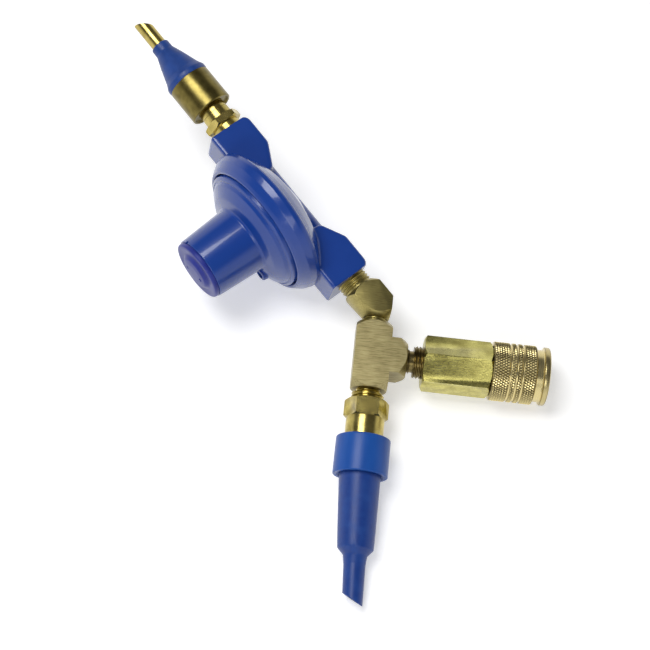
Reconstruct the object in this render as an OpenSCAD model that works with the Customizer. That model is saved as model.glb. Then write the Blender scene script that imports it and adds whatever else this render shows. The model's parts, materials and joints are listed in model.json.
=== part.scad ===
// Balloon gas regulator assembly. An in-line diaphragm regulator carries a foil balloon
// tilt valve on one port and an elbow, tee, quick coupler inlet and latex balloon tilt
// valve on the other. All sizes in millimetres. It lies as it rests on a table.

/* [Threads and fits] */
// Outside diameter of the large taper thread
big_thread_d = 13.7; // [11:0.1:17]
// Pitch of the large taper thread
big_pitch = 1.41; // [1:0.01:2]
// Outside diameter of the small taper thread
small_thread_d = 10.3; // [8:0.1:13]
// Pitch of the small taper thread
small_pitch = 0.94; // [0.7:0.01:1.5]
// Length of thread screwed into a hole
thread_grip = 9.5; // [7:0.1:12]
// Radial gap of a screwed or pressed joint
tight_gap = 0.05; // [0.02:0.01:0.15]
// Radial gap of a sliding or turning fit
run_gap = 0.08; // [0.05:0.01:0.1]
// Gap between soft or loose parts
free_gap = 0.3; // [0.2:0.05:0.6]

/* [Tee] */
// Side of the tee's square bar
tee_bar = 15.2; // [13:0.1:22]
// Tee centre to each of its three ends
tee_reach = 14.7; // [13:0.1:20]
// Bore of the tee
tee_bore = 6; // [4:0.1:8]
// Radius of the flat left at each turned end
tee_end_r = 7.3; // [6.5:0.1:10]

/* [Elbow] */
// Bend of the elbow in degrees
elbow_bend = 45; // [30:1:60]
// Elbow turned on its thread, in degrees
elbow_turn = 6; // [-20:0.5:20]
// Wall of the elbow's large leg outside its thread
elbow_big_wall = 0.55; // [0.35:0.05:3]
// Half width of the leg to the tee
elbow_small_half = 5.7; // [5.5:0.1:8]
// Half depth of the elbow's bar
elbow_deep_half = 7.2; // [6:0.1:10]
// Elbow centre to the end of its large leg
elbow_big_leg = 11.6; // [9:0.1:16]
// Elbow centre to the end of its small leg
elbow_small_leg = 4.5; // [4.5:0.1:10]
// Large thread left showing
elbow_big_show = 5.0; // [2:0.1:7]
// Small thread left showing
elbow_small_show = 2.2; // [1:0.1:5]
// Bore of the elbow
elbow_bore = 6; // [4:0.1:8]

/* [Regulator body] */
// Regulator turned on the elbow's thread, in degrees
body_turn = -0.5; // [-15:0.5:15]
// Tower axis to each port face
port_half = 41.8; // [36:0.1:50]
// Length of a port block
block_len = 17.4; // [14:0.1:20]
// Wall of a port block beside its thread
block_side_wall = 2.35; // [1.6:0.05:5]
// Wall of a port block behind its thread
block_back_wall = 0.85; // [0.6:0.05:4]
// Port axis to the front of a block
block_rise = 11.8; // [8:0.1:13]
// Corner radius of a block
block_round = 2.2; // [1:0.1:4]
// Length of the slope from a block to the bowl
block_slope = 11; // [6:0.5:14]
// Height of a bare machined pad
pad_height = 0.5; // [0.2:0.1:1]
// Port axis to the diaphragm's middle plane
flange_rise = 12.8; // [11.5:0.1:16]
// Radius of the rolled rim
rim_r = 33.6; // [31:0.1:42]
// Width of the rolled rim round the clamped flange
rim_wall = 3.05; // [2.5:0.05:4]
// Radius of the pressure chamber
chamber_r = 23; // [21:0.1:26]
// Depth of a port's threaded hole
port_deep = 12; // [11:0.1:14]
// Bore of the gas passages
passage_d = 5.2; // [3:0.1:5.8]

/* [Bonnet and tower] */
// Radius of the tower at its foot
tower_foot_r = 15.1; // [14:0.1:18]
// Radius of the tower at its mouth
tower_top_r = 13.8; // [13.4:0.1:17]
// Bore radius of the tower
tower_bore_r = 11.6; // [10.5:0.1:12]
// Port axis to the tower's mouth
tower_top = 49.1; // [46:0.1:60]
// Thickness of the closing cap's rim
cap_rim = 2; // [1.2:0.1:4]
// Rise of the closing cap's round hub
cap_hub = 1.5; // [0.5:0.1:3]
// Radius of the closing cap's round hub
cap_hub_r = 7.4; // [4:0.1:9]
// Depth of the closing cap's threaded skirt
cap_skirt = 2.8; // [2:0.1:4]
// Tower axis to the vent
vent_out = 18.6; // [18:0.1:19.5]
// Vent turned round the tower, in degrees
vent_turn = 142; // [0:1:359]
// Radius of the vent's hole
vent_r = 1.7; // [1.2:0.1:2]

/* [Regulator inside] */
// Thickness of the diaphragm
diaphragm_t = 0.6; // [0.4:0.1:1]
// Radius of the diaphragm plate
plate_r = 17; // [12:0.1:18]
// Thickness of the diaphragm plate
plate_t = 1; // [0.6:0.1:1.4]
// Travel of the diaphragm
lift_travel = 1; // [0.5:0.1:1]
// Radius of the stem under the diaphragm
stem_r = 1.6; // [1.4:0.1:2]
// Tower axis to the lever pin
lever_reach = 6; // [5:0.1:8]
// Port axis to the lever pin
lever_rise = 5.6; // [5.2:0.1:6.5]
// Radius of the lever pin
lever_pin_r = 0.8; // [0.6:0.05:1]
// Radius of the valve plunger
plunger_r = 2.4; // [2.2:0.1:2.6]
// Radius of the main spring's wire
main_wire_r = 1.2; // [0.8:0.05:1.5]
// Middle radius of the main spring
main_spring_r = 8.4; // [6:0.1:9]
// Length of the adjusting screw
screw_len = 4; // [3:0.1:5]
// Across flats of the adjusting screw's socket
screw_socket = 8; // [6:0.5:10]

/* [Foil balloon valve] */
// Neck between the port and the thin hex
foil_neck = 3.6; // [1:0.1:6]
// Thickness of the thin hex
foil_hex_t = 3.3; // [2:0.1:6]
// Flats of the thin hex outside the large thread
foil_hex_wall = 0.75; // [0.5:0.05:2]
// Necks turned down below the large thread
foil_neck_in = 0.55; // [0.3:0.05:1]
// Port face to the sleeve
foil_sleeve_at = 13.2; // [9:0.1:15]
// Length of the sleeve
foil_sleeve_len = 16.1; // [14.5:0.1:20]
// Radius of the sleeve
foil_sleeve_r = 9.75; // [9:0.05:12]
// Wall of the sleeve
foil_sleeve_wall = 0.5; // [0.4:0.1:1]
// Length of the rubber boot outside the sleeve
boot_len = 21.2; // [15:0.1:25]
// Length of the boot's cuff
boot_cuff = 4; // [2:0.1:6]
// Radius of the boot's cuff
boot_cuff_r = 4.25; // [3.9:0.05:6]
// Radius of the brass tube
foil_tube_r = 3.4; // [2.5:0.1:3.4]
// Bore radius of the brass tube
foil_tube_bore_r = 2.4; // [1.5:0.1:2.5]
// Sleeve end to the far corner of the tube's tip
foil_tube_out = 34.8; // [25:0.1:42]
// Slant of the tube's tip, in degrees
foil_slant = 35; // [0:1:45]
// Side of the tube's tip that is short, in degrees
foil_slant_turn = 0; // [0:5:360]

/* [Quick coupler] */
// Tee centre to the hex
coupler_at = 21.5; // [19.5:0.1:26]
// Length of the hex
coupler_hex_len = 28.5; // [26:0.1:34]
// Hex across flats
coupler_hex_af = 20.8; // [19.5:0.1:26]
// Hex turned on its thread, in degrees
coupler_turn = 55.5; // [0:0.5:60]
// Length of the knurled part of the sleeve
sleeve_len = 18.1; // [15:0.1:24]
// Radius of the knurled sleeve
sleeve_r = 12.45; // [12:0.05:15]
// Length of the polished neck
sleeve_neck = 3.2; // [1.5:0.1:4]
// Radius of the polished neck
sleeve_neck_r = 11; // [10.8:0.1:13]
// Length of the front lip
sleeve_lip = 2.5; // [1.5:0.1:4]
// Radius of the front lip
sleeve_lip_r = 12.3; // [11.2:0.1:14]
// Bore radius for the plug
plug_r = 6.05; // [5:0.01:6.3]
// Bore radius for the plug's tip
plug_tip_r = 4.05; // [3:0.01:4.5]
// Outside radius of the socket tube
socket_r = 8.6; // [8.3:0.1:9]
// Radius of a locking ball
ball_r = 1.6; // [1.2:0.1:1.7]
// Forward travel of the sleeve
sleeve_travel = 3; // [2:0.1:3.2]
// Inward travel of a locking ball
ball_travel = 0.6; // [0.4:0.05:0.7]
// Travel of the coupler's valve
valve_travel = 4; // [2:0.1:5]

/* [Latex balloon valve] */
// Tee end to the large thread
latex_small_show = 1.7; // [1:0.1:5]
// Large thread left showing
latex_big_show = 2.7; // [1:0.1:7]
// Length of the hex
latex_hex_len = 8; // [6:0.1:12]
// Wall of the hex and shoulder round the large thread
latex_wall = 1.25; // [1:0.05:2.5]
// Length of the round shoulder
latex_shoulder = 8.2; // [4:0.1:11]
// Length of the collar
collar_len = 16; // [14:0.1:20]
// Radius of the collar
collar_r = 11.35; // [11:0.05:14]
// Collar end to the nozzle's cone
nozzle_len = 30.2; // [24:0.1:40]
// Radius of the nozzle under the collar
nozzle_top_r = 8.6; // [7:0.1:8.8]
// Radius of the nozzle at its cone
nozzle_foot_r = 7.55; // [6:0.05:8.4]
// Length of the nozzle's cone
nozzle_cone = 2.9; // [1:0.1:6]
// Radius of the nozzle's thin end
nozzle_tip_r = 4.65; // [4.2:0.05:5.5]
// Collar end to the nozzle's tip
nozzle_out = 53.2; // [50:0.1:70]
// Slant of the nozzle's tip, in degrees
nozzle_slant = 30; // [0:1:45]
// Side of the nozzle's tip that is short, in degrees
nozzle_slant_turn = 180; // [0:5:355]
// Radius of the stem inside the nozzle
latex_stem_r = 3; // [2.4:0.1:3.2]

/* [Resting pose] */
// Turn about X that lays the assembly on a table
lay_x = 7.37; // [-20:0.01:20]
// Turn about Y that lays the assembly on a table
lay_y = 4.34; // [-20:0.01:20]
// Shift along X
lay_shift_x = 19.58; // [-60:0.01:60]
// Shift along Y
lay_shift_y = -16.11; // [-60:0.01:60]
// Lift above the table
lay_lift = 17.82; // [0:0.01:60]

/* [Hidden] */
big_r = big_thread_d / 2;
small_r = small_thread_d / 2;
big_hole_r = big_r + tight_gap;
small_hole_r = small_r + tight_gap;
thread_depth = 0.45;

// Sizes that follow the large thread
elbow_big_half = big_r + elbow_big_wall;
block_half = big_r + block_side_wall;
block_drop = big_r + block_back_wall;
foil_hex_af = 2 * (big_r + foil_hex_wall);
foil_neck_r = big_r - foil_neck_in;
latex_body_r = big_r + latex_wall;
latex_hex_af = 2 * latex_body_r;

// Elbow and regulator placing
elbow_rise = tee_reach + elbow_small_show + elbow_small_leg;
port_at = elbow_big_leg + elbow_big_show;
reg_mid = port_at + port_half;

// Regulator levels above the port axis
dia_low = flange_rise - diaphragm_t / 2;
dia_top = flange_rise + diaphragm_t / 2;
web_r = plunger_r + 2.5;
bowl_wall = 2.6;
floor_r = 10.5;
floor_z = 0.8;
floor_edge = flange_rise - 6;
shelf_r = chamber_r + 3.5;
guide_half = plunger_r + run_gap;
clamp_r = rim_r - rim_wall - tight_gap;
seat_x = -lever_reach - 4.6;
lever_ratio = lever_rise / lever_reach;
valve_gap = lift_travel * lever_ratio + tight_gap;
disc_face = seat_x + valve_gap;
disc_t = 1.9;
disc_r = plunger_r - 0.45;
orifice_r = plunger_r;
orifice_len = 8;
plunger_end = lever_reach + 2.6;
arm_end_r = 0.7;
arm_half = 0.3;
arm_wide = 0.7;
slot_gap = 0.13;
hub_half = 2.9;
lug_t = 2;
stem_head_r = 3.4;
stem_head_t = 1.2;
plate_top = dia_top + plate_t;

// Screw, seat and cap levels
screw_top = tower_top - cap_skirt - 2.1;
screw_low = screw_top - screw_len;
seat_t = 2.5;
seat_low = screw_low - seat_t;
cap_r = tower_top_r - 0.5;
cap_thread_r = tower_bore_r - free_gap;
cap_seal_hole_r = tower_bore_r + 0.7;
cap_seal_at = tower_top - 0.9;
vent_floor = flange_rise + 11.6;
vent_top = flange_rise + 14.1;
vent_boss_r = vent_r + 1.2;

// Foil valve levels above the port face
foil_hex_at = foil_neck;
foil_body_end = foil_sleeve_at + 11.3;
foil_sleeve_end = foil_sleeve_at + foil_sleeve_len;
foil_body_r = foil_sleeve_r - foil_sleeve_wall - tight_gap;
foil_chamber_r = foil_body_r - 2.3;
foil_inner_r = foil_tube_r - 0.4;
foil_floor = foil_sleeve_at + 1.2;
foil_head_r = foil_chamber_r - 1;
foil_head_at = foil_floor + 4.6;
foil_head_t = 1.5;
foil_seat_at = foil_head_at + foil_head_t;
washer_t = 2;
foil_ring_at = foil_seat_at + washer_t;
boot_end = foil_sleeve_end + boot_len;
foil_tip = foil_sleeve_end + foil_tube_out;

// Coupler levels from the tee centre
coupler_hex_end = coupler_at + coupler_hex_len;
sleeve_at = coupler_hex_end + free_gap;
sleeve_band_end = sleeve_at + sleeve_len;
sleeve_neck_end = sleeve_band_end + sleeve_neck;
sleeve_end = sleeve_neck_end + sleeve_lip;
socket_end = sleeve_end - 0.4;
socket_root = coupler_hex_end - 5.2;
socket_root_r = socket_r + 0.3;
cavity_at = coupler_at + 17;
cavity_r = 7.5;
valve_seat = coupler_hex_end + 3.7;
socket_back_r = 6.6;
seal_at = valve_seat + 2.5;
seal_t = 2.4;
seal_groove_r = plug_r + 0.6;
valve_head_r = 6.1;
valve_head_t = 3;
valve_nose_r = plug_tip_r - 0.45;
ball_z = sleeve_at + 12.4;
ball_out = plug_r + ball_r + 0.1;
ball_gap = 0.08;
cam_slope = ball_travel / sleeve_travel;
cam_cos = 1 / sqrt(1 + cam_slope * cam_slope);
cam_r = ball_out + (ball_r + ball_gap) / cam_cos;
sleeve_bore_r = socket_r + run_gap;
cam_back = ball_z - (cam_r - sleeve_bore_r) / cam_slope;
cam_front = ball_z + ball_r + 0.1;
cam_front_r = cam_r + (cam_front - ball_z) * cam_slope;
ring_at = socket_end - 1.9;
ring_t = 1;
ring_r = socket_r + 0.9;
front_bore_r = ring_r + 0.15;
front_bore_at = ring_at - sleeve_travel - 0.1;
spring_pocket_r = socket_r + 1.9;
spring_pocket_end = sleeve_at + 5.6;
groove_w = 1;
groove_d = 0.6;

// Latex valve levels from the tee centre
latex_thread_at = tee_reach + latex_small_show;
latex_hex_at = latex_thread_at + latex_big_show;
latex_hex_end = latex_hex_at + latex_hex_len;
latex_shoulder_end = latex_hex_end + latex_shoulder;
collar_at = latex_shoulder_end;
collar_end = collar_at + collar_len;
latex_body_end = collar_at + 9;
latex_floor = latex_hex_end + 4;
latex_chamber_r = latex_body_r - 1.8;
latex_head_r = latex_chamber_r - 0.9;
latex_head_at = latex_floor + 5;
latex_seat_at = latex_head_at + foil_head_t;
latex_ring_at = latex_seat_at + washer_t;
nozzle_join = collar_end + 3;
nozzle_cone_at = collar_end + nozzle_len;
nozzle_cone_end = nozzle_cone_at + nozzle_cone;
nozzle_tip = collar_end + nozzle_out;

// ---- placing ----

module lay() {
  translate([lay_shift_x, lay_shift_y, lay_lift]) rotate([lay_x, lay_y, 0]) children();
}

// z runs out along the branch
module on_branch() {
  lay() rotate([0, 90, 0]) children();
}

// z runs down to the latex valve
module on_outlet() {
  lay() rotate([90, 0, 0]) children();
}

// the elbow's own plane
module on_elbow() {
  lay() translate([0, elbow_rise, 0]) rotate([0, elbow_turn, 0]) children();
}

// x runs along the ports, z up the tower
module on_regulator() {
  on_elbow() rotate([0, 0, 90 + elbow_bend]) rotate([body_turn, 0, 0])
    translate([reg_mid, 0, 0]) rotate([-90, 0, 0]) children();
}

// z runs out of the far port
module on_foil() {
  on_regulator() translate([port_half, 0, 0]) rotate([0, 90, 0]) children();
}

// ---- shared shapes ----

module cyl(r, z0, z1) {
  translate([0, 0, z0]) cylinder(r = r, h = z1 - z0, $fn = 64);
}

module cone_z(r0, r1, z0, z1) {
  translate([0, 0, z0]) cylinder(r1 = r0, r2 = r1, h = z1 - z0, $fn = 64);
}

module pipe(ro, ri, z0, z1) {
  difference() {
    cyl(ro, z0, z1);
    cyl(ri, z0 - 1, z1 + 1);
  }
}

module spun(points) {
  rotate_extrude($fn = 96) polygon(points);
}

// a bar with both ends turned to a cone
module turned(big, end_r, z0, z1, rise) {
  spun([[0, z0], [end_r, z0], [big, z0 + (big - end_r) * rise],
        [big, z1 - (big - end_r) * rise], [end_r, z1], [0, z1]]);
}

// a square bar with turned ends
module square_bar(side, end_r, z0, z1) {
  intersection() {
    translate([-side / 2, -side / 2, z0]) cube([side, side, z1 - z0]);
    turned(side * 0.75, end_r, z0, z1, 1);
  }
}

// a hex bar with turned ends
module hex_bar(af, end_r, z0, z1) {
  intersection() {
    translate([0, 0, z0]) cylinder(r = af / sqrt(3), h = z1 - z0, $fn = 6);
    turned(af / sqrt(3) + 0.2, end_r, z0, z1, 0.58);
  }
}

// round rings that stand for a thread, on a rod from z0 to z1
module thread_rod(r, pitch, z0, z1) {
  n = floor((z1 - z0) / pitch);
  root = r - thread_depth;
  points = [for (i = [0:n - 1]) each [[root, z0 + i * pitch], [r, z0 + (i + 0.5) * pitch]]];
  spun(concat([[0, z0]], points, [[root, z0 + n * pitch], [root, z1], [0, z1]]));
}

// a helical spring as one closed tube between two levels
module coil(mid_r, wire_r, z0, z1, turns) {
  steps = 12;
  n = turns * steps;
  rise = z1 - z0 - 2 * wire_r;
  rings = [for (i = [0:n]) for (k = [0:5])
    let (a = i * 360 / steps, b = k * 60, r = mid_r + wire_r * cos(b))
    [r * cos(a), r * sin(a), z0 + wire_r + rise * i / n + wire_r * sin(b)]];
  sides = [for (i = [0:n - 1]) for (k = [0:5])
    let (p = i * 6 + k, q = i * 6 + (k + 1) % 6)
    each [[p, q, p + 6], [q, q + 6, p + 6]]];
  ends = concat([for (k = [1:4]) [0, k + 1, k]], [for (k = [1:4]) [n * 6, n * 6 + k, n * 6 + k + 1]]);
  polyhedron(points = rings, faces = concat(sides, ends), convexity = 4);
}

// an outline with round corners, centred
module round_box(wide, high, r) {
  square([wide - 2 * r, high], center = true);
  square([wide, high - 2 * r], center = true);
  for (x = [-1, 1]) for (y = [-1, 1])
    translate([x * (wide / 2 - r), y * (high / 2 - r)]) circle(r = r, $fn = 32);
}

// a tube end cut on a slant, low on the side given by turn
module slant_cut(r, tip, slant, turn) {
  rotate([0, 0, turn]) translate([0, 0, tip]) translate([-r, 0, 0]) rotate([0, slant, 0])
    translate([-2 * r, -2 * r, 0]) cube([8 * r, 4 * r, 8 * r]);
}

// ---- fittings ----

module branch_tee() {
  color([0.80, 0.73, 0.47]) lay() difference() {
    union() {
      rotate([90, 0, 0]) square_bar(tee_bar, tee_end_r, -tee_reach, tee_reach);
      intersection() {
        translate([0, -tee_bar / 2, -tee_bar / 2]) cube([tee_reach, tee_bar, tee_bar]);
        rotate([0, 90, 0]) turned(tee_bar * 0.75, tee_end_r, -tee_reach, tee_reach, 1);
      }
    }
    rotate([90, 0, 0]) cyl(tee_bore / 2, -tee_reach, tee_reach);
    rotate([0, 90, 0]) cyl(tee_bore / 2, 0, tee_reach);
    for (turn = [[90, 0, 0], [-90, 0, 0], [0, 90, 0]])
      rotate(turn) cyl(small_hole_r, tee_reach - thread_grip, tee_reach + 1);
  }
}

module elbow_45() {
  a = elbow_big_half;
  b = elbow_small_half;
  s = sin(elbow_bend);
  c = cos(elbow_bend);
  small_tip = elbow_small_leg + elbow_small_show + thread_grip;
  // where the two pairs of side faces meet
  top = (a - b * c) / s;
  far = 2 * (elbow_big_leg + a);
  d = [-s, c];
  n = [c, s];
  color([0.70, 0.62, 0.34]) on_elbow() difference() {
    union() {
      intersection() {
        translate([0, 0, -elbow_deep_half]) linear_extrude(height = 2 * elbow_deep_half)
          polygon([[b, top], [b, -far], [-b, -far], [-b, -top], d * far - n * a, d * far + n * a]);
        rotate([0, 0, 90 + elbow_bend]) rotate([0, 90, 0])
          cone_z(elbow_big_half - 0.3 + 50, elbow_big_half - 0.3, elbow_big_leg - 50, elbow_big_leg);
        rotate([90, 0, 0])
          cone_z(elbow_small_half - 0.2 + 50, elbow_small_half - 0.2, elbow_small_leg - 50, elbow_small_leg);
      }
      rotate([0, 0, 90 + elbow_bend]) rotate([0, 90, 0]) {
        cyl(big_r - 0.7, 0, elbow_big_leg + 1.2);
        thread_rod(big_r, big_pitch, elbow_big_leg + 1, port_at + thread_grip);
      }
      rotate([90, 0, 0]) {
        cyl(small_r - 0.5, 0, elbow_small_leg + 0.8);
        thread_rod(small_r, small_pitch, elbow_small_leg + 0.6, small_tip);
      }
    }
    rotate([0, 0, 90 + elbow_bend]) rotate([0, 90, 0])
      cyl(elbow_bore / 2, -elbow_bore * 0.2, port_at + thread_grip + 1);
    rotate([90, 0, 0])
      cyl(elbow_bore / 2, -elbow_bore * 0.2, small_tip + 1);
  }
}

module coupler_nipple() {
  color([0.72, 0.63, 0.36]) on_branch() difference() {
    union() {
      thread_rod(small_r, small_pitch, tee_reach - thread_grip, tee_reach + 1.2);
      cyl(small_r - 0.6, tee_reach + 1, tee_reach + 3);
      thread_rod(big_r, big_pitch, tee_reach + 2.8, coupler_at + thread_grip);
    }
    cyl(tee_bore / 2, 0, coupler_at + thread_grip + 1);
  }
}

module latex_nipple() {
  color([0.78, 0.68, 0.38]) on_outlet() difference() {
    union() {
      thread_rod(small_r, small_pitch, tee_reach - thread_grip, latex_thread_at);
      thread_rod(big_r, big_pitch, latex_thread_at, latex_hex_at + thread_grip);
    }
    cyl(tee_bore / 2, 0, latex_hex_at + thread_grip + 1);
  }
}

// ---- regulator ----

module port_block(side) {
  mid = (block_rise - block_drop) / 2;
  pad_mid = port_half - block_len * 0.42;
  translate([side * (port_half - block_len / 2) - block_len / 2, 0, mid]) rotate([90, 0, 90])
    linear_extrude(height = block_len) round_box(2 * block_half, block_rise + block_drop, block_round);
  // bare pad on the back
  translate([side * pad_mid - block_len * 0.3, -block_half * 0.62, -block_drop - pad_height])
    cube([block_len * 0.6, block_half * 1.24, pad_height + 1]);
  // slope down to the web
  inner = port_half - block_len + block_round;
  half = block_half - block_round;
  rotate([90, 0, 0]) translate([0, 0, -half]) linear_extrude(height = 2 * half)
    polygon([[side * inner, -block_drop], [side * (inner - block_slope), floor_z - bowl_wall],
             [side * (inner - block_slope), flange_rise - 4], [side * inner, block_rise - 1]]);
}

module regulator_body() {
  color([0.10, 0.22, 0.52]) on_regulator() difference() {
    union() {
      difference() {
        union() {
          spun([[0, floor_z - bowl_wall], [floor_r - 2, floor_z - bowl_wall],
                [chamber_r + 1, floor_edge - bowl_wall], [shelf_r + 2.5, flange_rise - 5],
                [rim_r - 2, flange_rise - 2.9],
                [rim_r, flange_rise - 0.8], [rim_r, flange_rise + 1],
                [rim_r - 2.7, flange_rise + 5.4], [rim_r - 4.2, flange_rise + 6.9], [0, flange_rise + 6.9]]);
          port_block(1);
          port_block(-1);
          rotate([0, 90, 0]) cyl(web_r, -port_half + 2, port_half - 2);
        }
        spun([[0, floor_z], [floor_r, floor_z], [chamber_r, floor_edge],
              [chamber_r, flange_rise], [0, flange_rise]]);
        cyl(shelf_r, dia_low - 1.4, flange_rise);
        // pocket for the clamped flange, closed by the rolled rim
        spun([[0, dia_low], [clamp_r + tight_gap, dia_low], [clamp_r + tight_gap, dia_top + 2.2],
              [rim_r - 5.6, flange_rise + 5.7], [rim_r - 5, flange_rise + 8], [0, flange_rise + 8]]);
      }
      // wall that holds the orifice
      intersection() {
        rotate([0, 90, 0]) cyl(orifice_r + 1.9, -chamber_r - 1, seat_x - 0.4);
        cyl(chamber_r + 1, -orifice_r - 1, orifice_r + 2);
      }
      // lugs for the lever pin
      for (side = [-1, 1])
        translate([lever_reach - 2, side * (hub_half + run_gap + lug_t / 2) - lug_t / 2, floor_z - 1])
          cube([4, lug_t, lever_rise + 2 - floor_z + 1]);
    }
    // ports
    for (side = [0, 180]) rotate([0, 0, side]) rotate([0, 90, 0])
      cyl(big_hole_r, port_half - port_deep, port_half + 1);
    // gas passages
    rotate([0, -90, 0]) cyl(passage_d / 2, -seat_x, port_half - port_deep + 1);
    rotate([0, 90, 0]) cyl(passage_d / 2, plunger_end, port_half - port_deep + 1);
    rotate([0, -90, 0]) cyl(orifice_r + tight_gap, -seat_x - 1, -seat_x + orifice_len);
    // guide for the plunger
    translate([seat_x - 0.4, -guide_half, -guide_half])
      cube([plunger_end + 2.5 - seat_x + 0.4, 2 * guide_half, guide_half + lever_rise - 2]);
    // lever pin holes
    translate([lever_reach, 0, lever_rise]) rotate([90, 0, 0])
      cyl(lever_pin_r + tight_gap, -hub_half - lug_t - 1, hub_half + lug_t + 1);
  }
}

// the vent's place on the dome
module at_vent() {
  rotate([0, 0, vent_turn]) translate([vent_out, 0, 0]) children();
}

module regulator_bonnet() {
  color([0.11, 0.25, 0.57]) on_regulator() difference() {
    union() {
      spun([[chamber_r + 1.5, dia_top], [clamp_r, dia_top], [clamp_r, dia_top + 1.9],
            [rim_r - 6, flange_rise + 5.4], [rim_r - 6.2, flange_rise + 8],
            [rim_r - 8.3, flange_rise + 10.4], [rim_r - 13.4, flange_rise + 12.8],
            [tower_foot_r + 0.9, flange_rise + 14], [tower_foot_r, flange_rise + 15.2],
            [tower_top_r, tower_top], [cap_seal_hole_r, tower_top],
            [cap_seal_hole_r, cap_seal_at], [tower_bore_r, cap_seal_at],
            [tower_bore_r, flange_rise + 12.4], [chamber_r - 5, flange_rise + 9.8],
            [chamber_r - 1, flange_rise + 6.5], [chamber_r + 1.5, flange_rise + 4]]);
      at_vent() cone_z(vent_boss_r + 0.5, vent_boss_r, flange_rise + 11.2, vent_top);
    }
    at_vent() {
      cyl(vent_r - 0.9, flange_rise + 7, vent_top + 1);
      cyl(vent_r, vent_floor, vent_top + 1);
    }
  }
}

module vent_screen() {
  color([0.62, 0.62, 0.60]) on_regulator() at_vent()
    cyl(vent_r - tight_gap, vent_floor, vent_floor + 0.4);
}

module diaphragm() {
  wave_in = plate_r + 1;
  wave_out = chamber_r - 0.8;
  wave_mid = (wave_in + wave_out) / 2;
  color([0.12, 0.12, 0.12]) on_regulator() difference() {
    spun([[stem_r + tight_gap, dia_low], [wave_in, dia_low], [wave_in + 0.8, dia_low + 1.1],
          [wave_mid, dia_low + 1.6], [wave_out - 0.8, dia_low + 1.1], [wave_out, dia_low],
          [clamp_r, dia_low], [clamp_r, dia_top], [wave_out - 0.1, dia_top],
          [wave_out - 0.5, dia_top + 1.1], [wave_mid, dia_top + 1.7], [wave_in + 0.5, dia_top + 1.1],
          [wave_in + 0.1, dia_top], [stem_r + tight_gap, dia_top]]);
  }
}

module diaphragm_plate() {
  color([0.72, 0.72, 0.70]) on_regulator() difference() {
    spun([[0, dia_top], [plate_r - 0.4, dia_top], [plate_r, dia_top + 0.4],
          [plate_r, plate_top], [0, plate_top]]);
    cyl(stem_r + tight_gap, dia_low, plate_top + 1);
  }
}

module diaphragm_stem() {
  window = arm_end_r + slot_gap;
  color([0.72, 0.60, 0.32]) on_regulator() difference() {
    union() {
      cyl(stem_r, lever_rise - window - 0.9, plate_top + stem_head_t);
      cyl(stem_head_r, plate_top, plate_top + stem_head_t);
      cyl(stem_head_r, dia_low - 0.8, dia_low);
    }
    translate([-stem_r - 1, -arm_wide - slot_gap, lever_rise - window])
      cube([2 * stem_r + 2, 2 * (arm_wide + slot_gap), 2 * window]);
  }
}

module main_spring() {
  color([0.60, 0.61, 0.62]) on_regulator()
    coil(main_spring_r, main_wire_r, plate_top, seat_low, 6);
}

module spring_seat() {
  color([0.66, 0.66, 0.64]) on_regulator() {
    cyl(tower_bore_r - free_gap, seat_low, screw_low);
    cone_z(main_spring_r - main_wire_r - 1.4, main_spring_r - main_wire_r - 0.6, seat_low - 2.2, seat_low);
  }
}

module adjusting_screw() {
  color([0.74, 0.62, 0.34]) on_regulator() difference() {
    union() {
      cyl(tower_bore_r - run_gap, screw_low + 0.6, screw_top);
      cyl(tower_bore_r - 1.2, screw_low, screw_low + 0.6);
    }
    translate([0, 0, screw_low + 0.8]) cylinder(r = screw_socket / sqrt(3), h = screw_len, $fn = 6);
  }
}

module cap_seal() {
  color([0.08, 0.08, 0.08]) on_regulator()
    pipe(cap_seal_hole_r - tight_gap, cap_thread_r + tight_gap, cap_seal_at, tower_top - tight_gap);
}

module closing_cap() {
  face = tower_top + cap_rim;
  color([0.15, 0.20, 0.50]) on_regulator()
    spun([[0, tower_top + 0.6], [cap_thread_r - 1.8, tower_top + 0.6],
          [cap_thread_r - 1.8, tower_top - cap_skirt], [cap_thread_r, tower_top - cap_skirt],
          [cap_thread_r, tower_top], [cap_r, tower_top], [cap_r, face - 0.6], [cap_r - 0.6, face],
          [cap_hub_r, face], [cap_hub_r - 0.5, face + cap_hub * 0.6],
          [cap_hub_r - 2, face + cap_hub * 0.93], [0, face + cap_hub]]);
}

module inlet_orifice() {
  color([0.78, 0.66, 0.36]) on_regulator() rotate([0, -90, 0]) difference() {
    union() {
      cyl(orifice_r, -seat_x + 0.6, -seat_x + orifice_len);
      cone_z(orifice_r - 0.9, orifice_r - 0.4, -seat_x, -seat_x + 0.6);
    }
    cyl(0.8, -seat_x - 1, -seat_x + orifice_len + 1);
    translate([0, 0, -seat_x + orifice_len - 2]) cylinder(r = 1.5, h = 3, $fn = 6);
  }
}

module valve_plunger() {
  color([0.76, 0.64, 0.35]) on_regulator() difference() {
    rotate([0, 90, 0]) cyl(plunger_r, disc_face + 0.4, plunger_end);
    rotate([0, 90, 0]) cyl(disc_r + tight_gap, disc_face, disc_face + disc_t);
    translate([lever_reach - arm_end_r - slot_gap, -plunger_r - 1, -arm_end_r - 2 * slot_gap])
      cube([2 * (arm_end_r + slot_gap), 2 * plunger_r + 2, plunger_r + 2]);
  }
}

module valve_disc() {
  color([0.10, 0.10, 0.10]) on_regulator() rotate([0, 90, 0])
    cyl(disc_r, disc_face, disc_face + disc_t);
}

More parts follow.
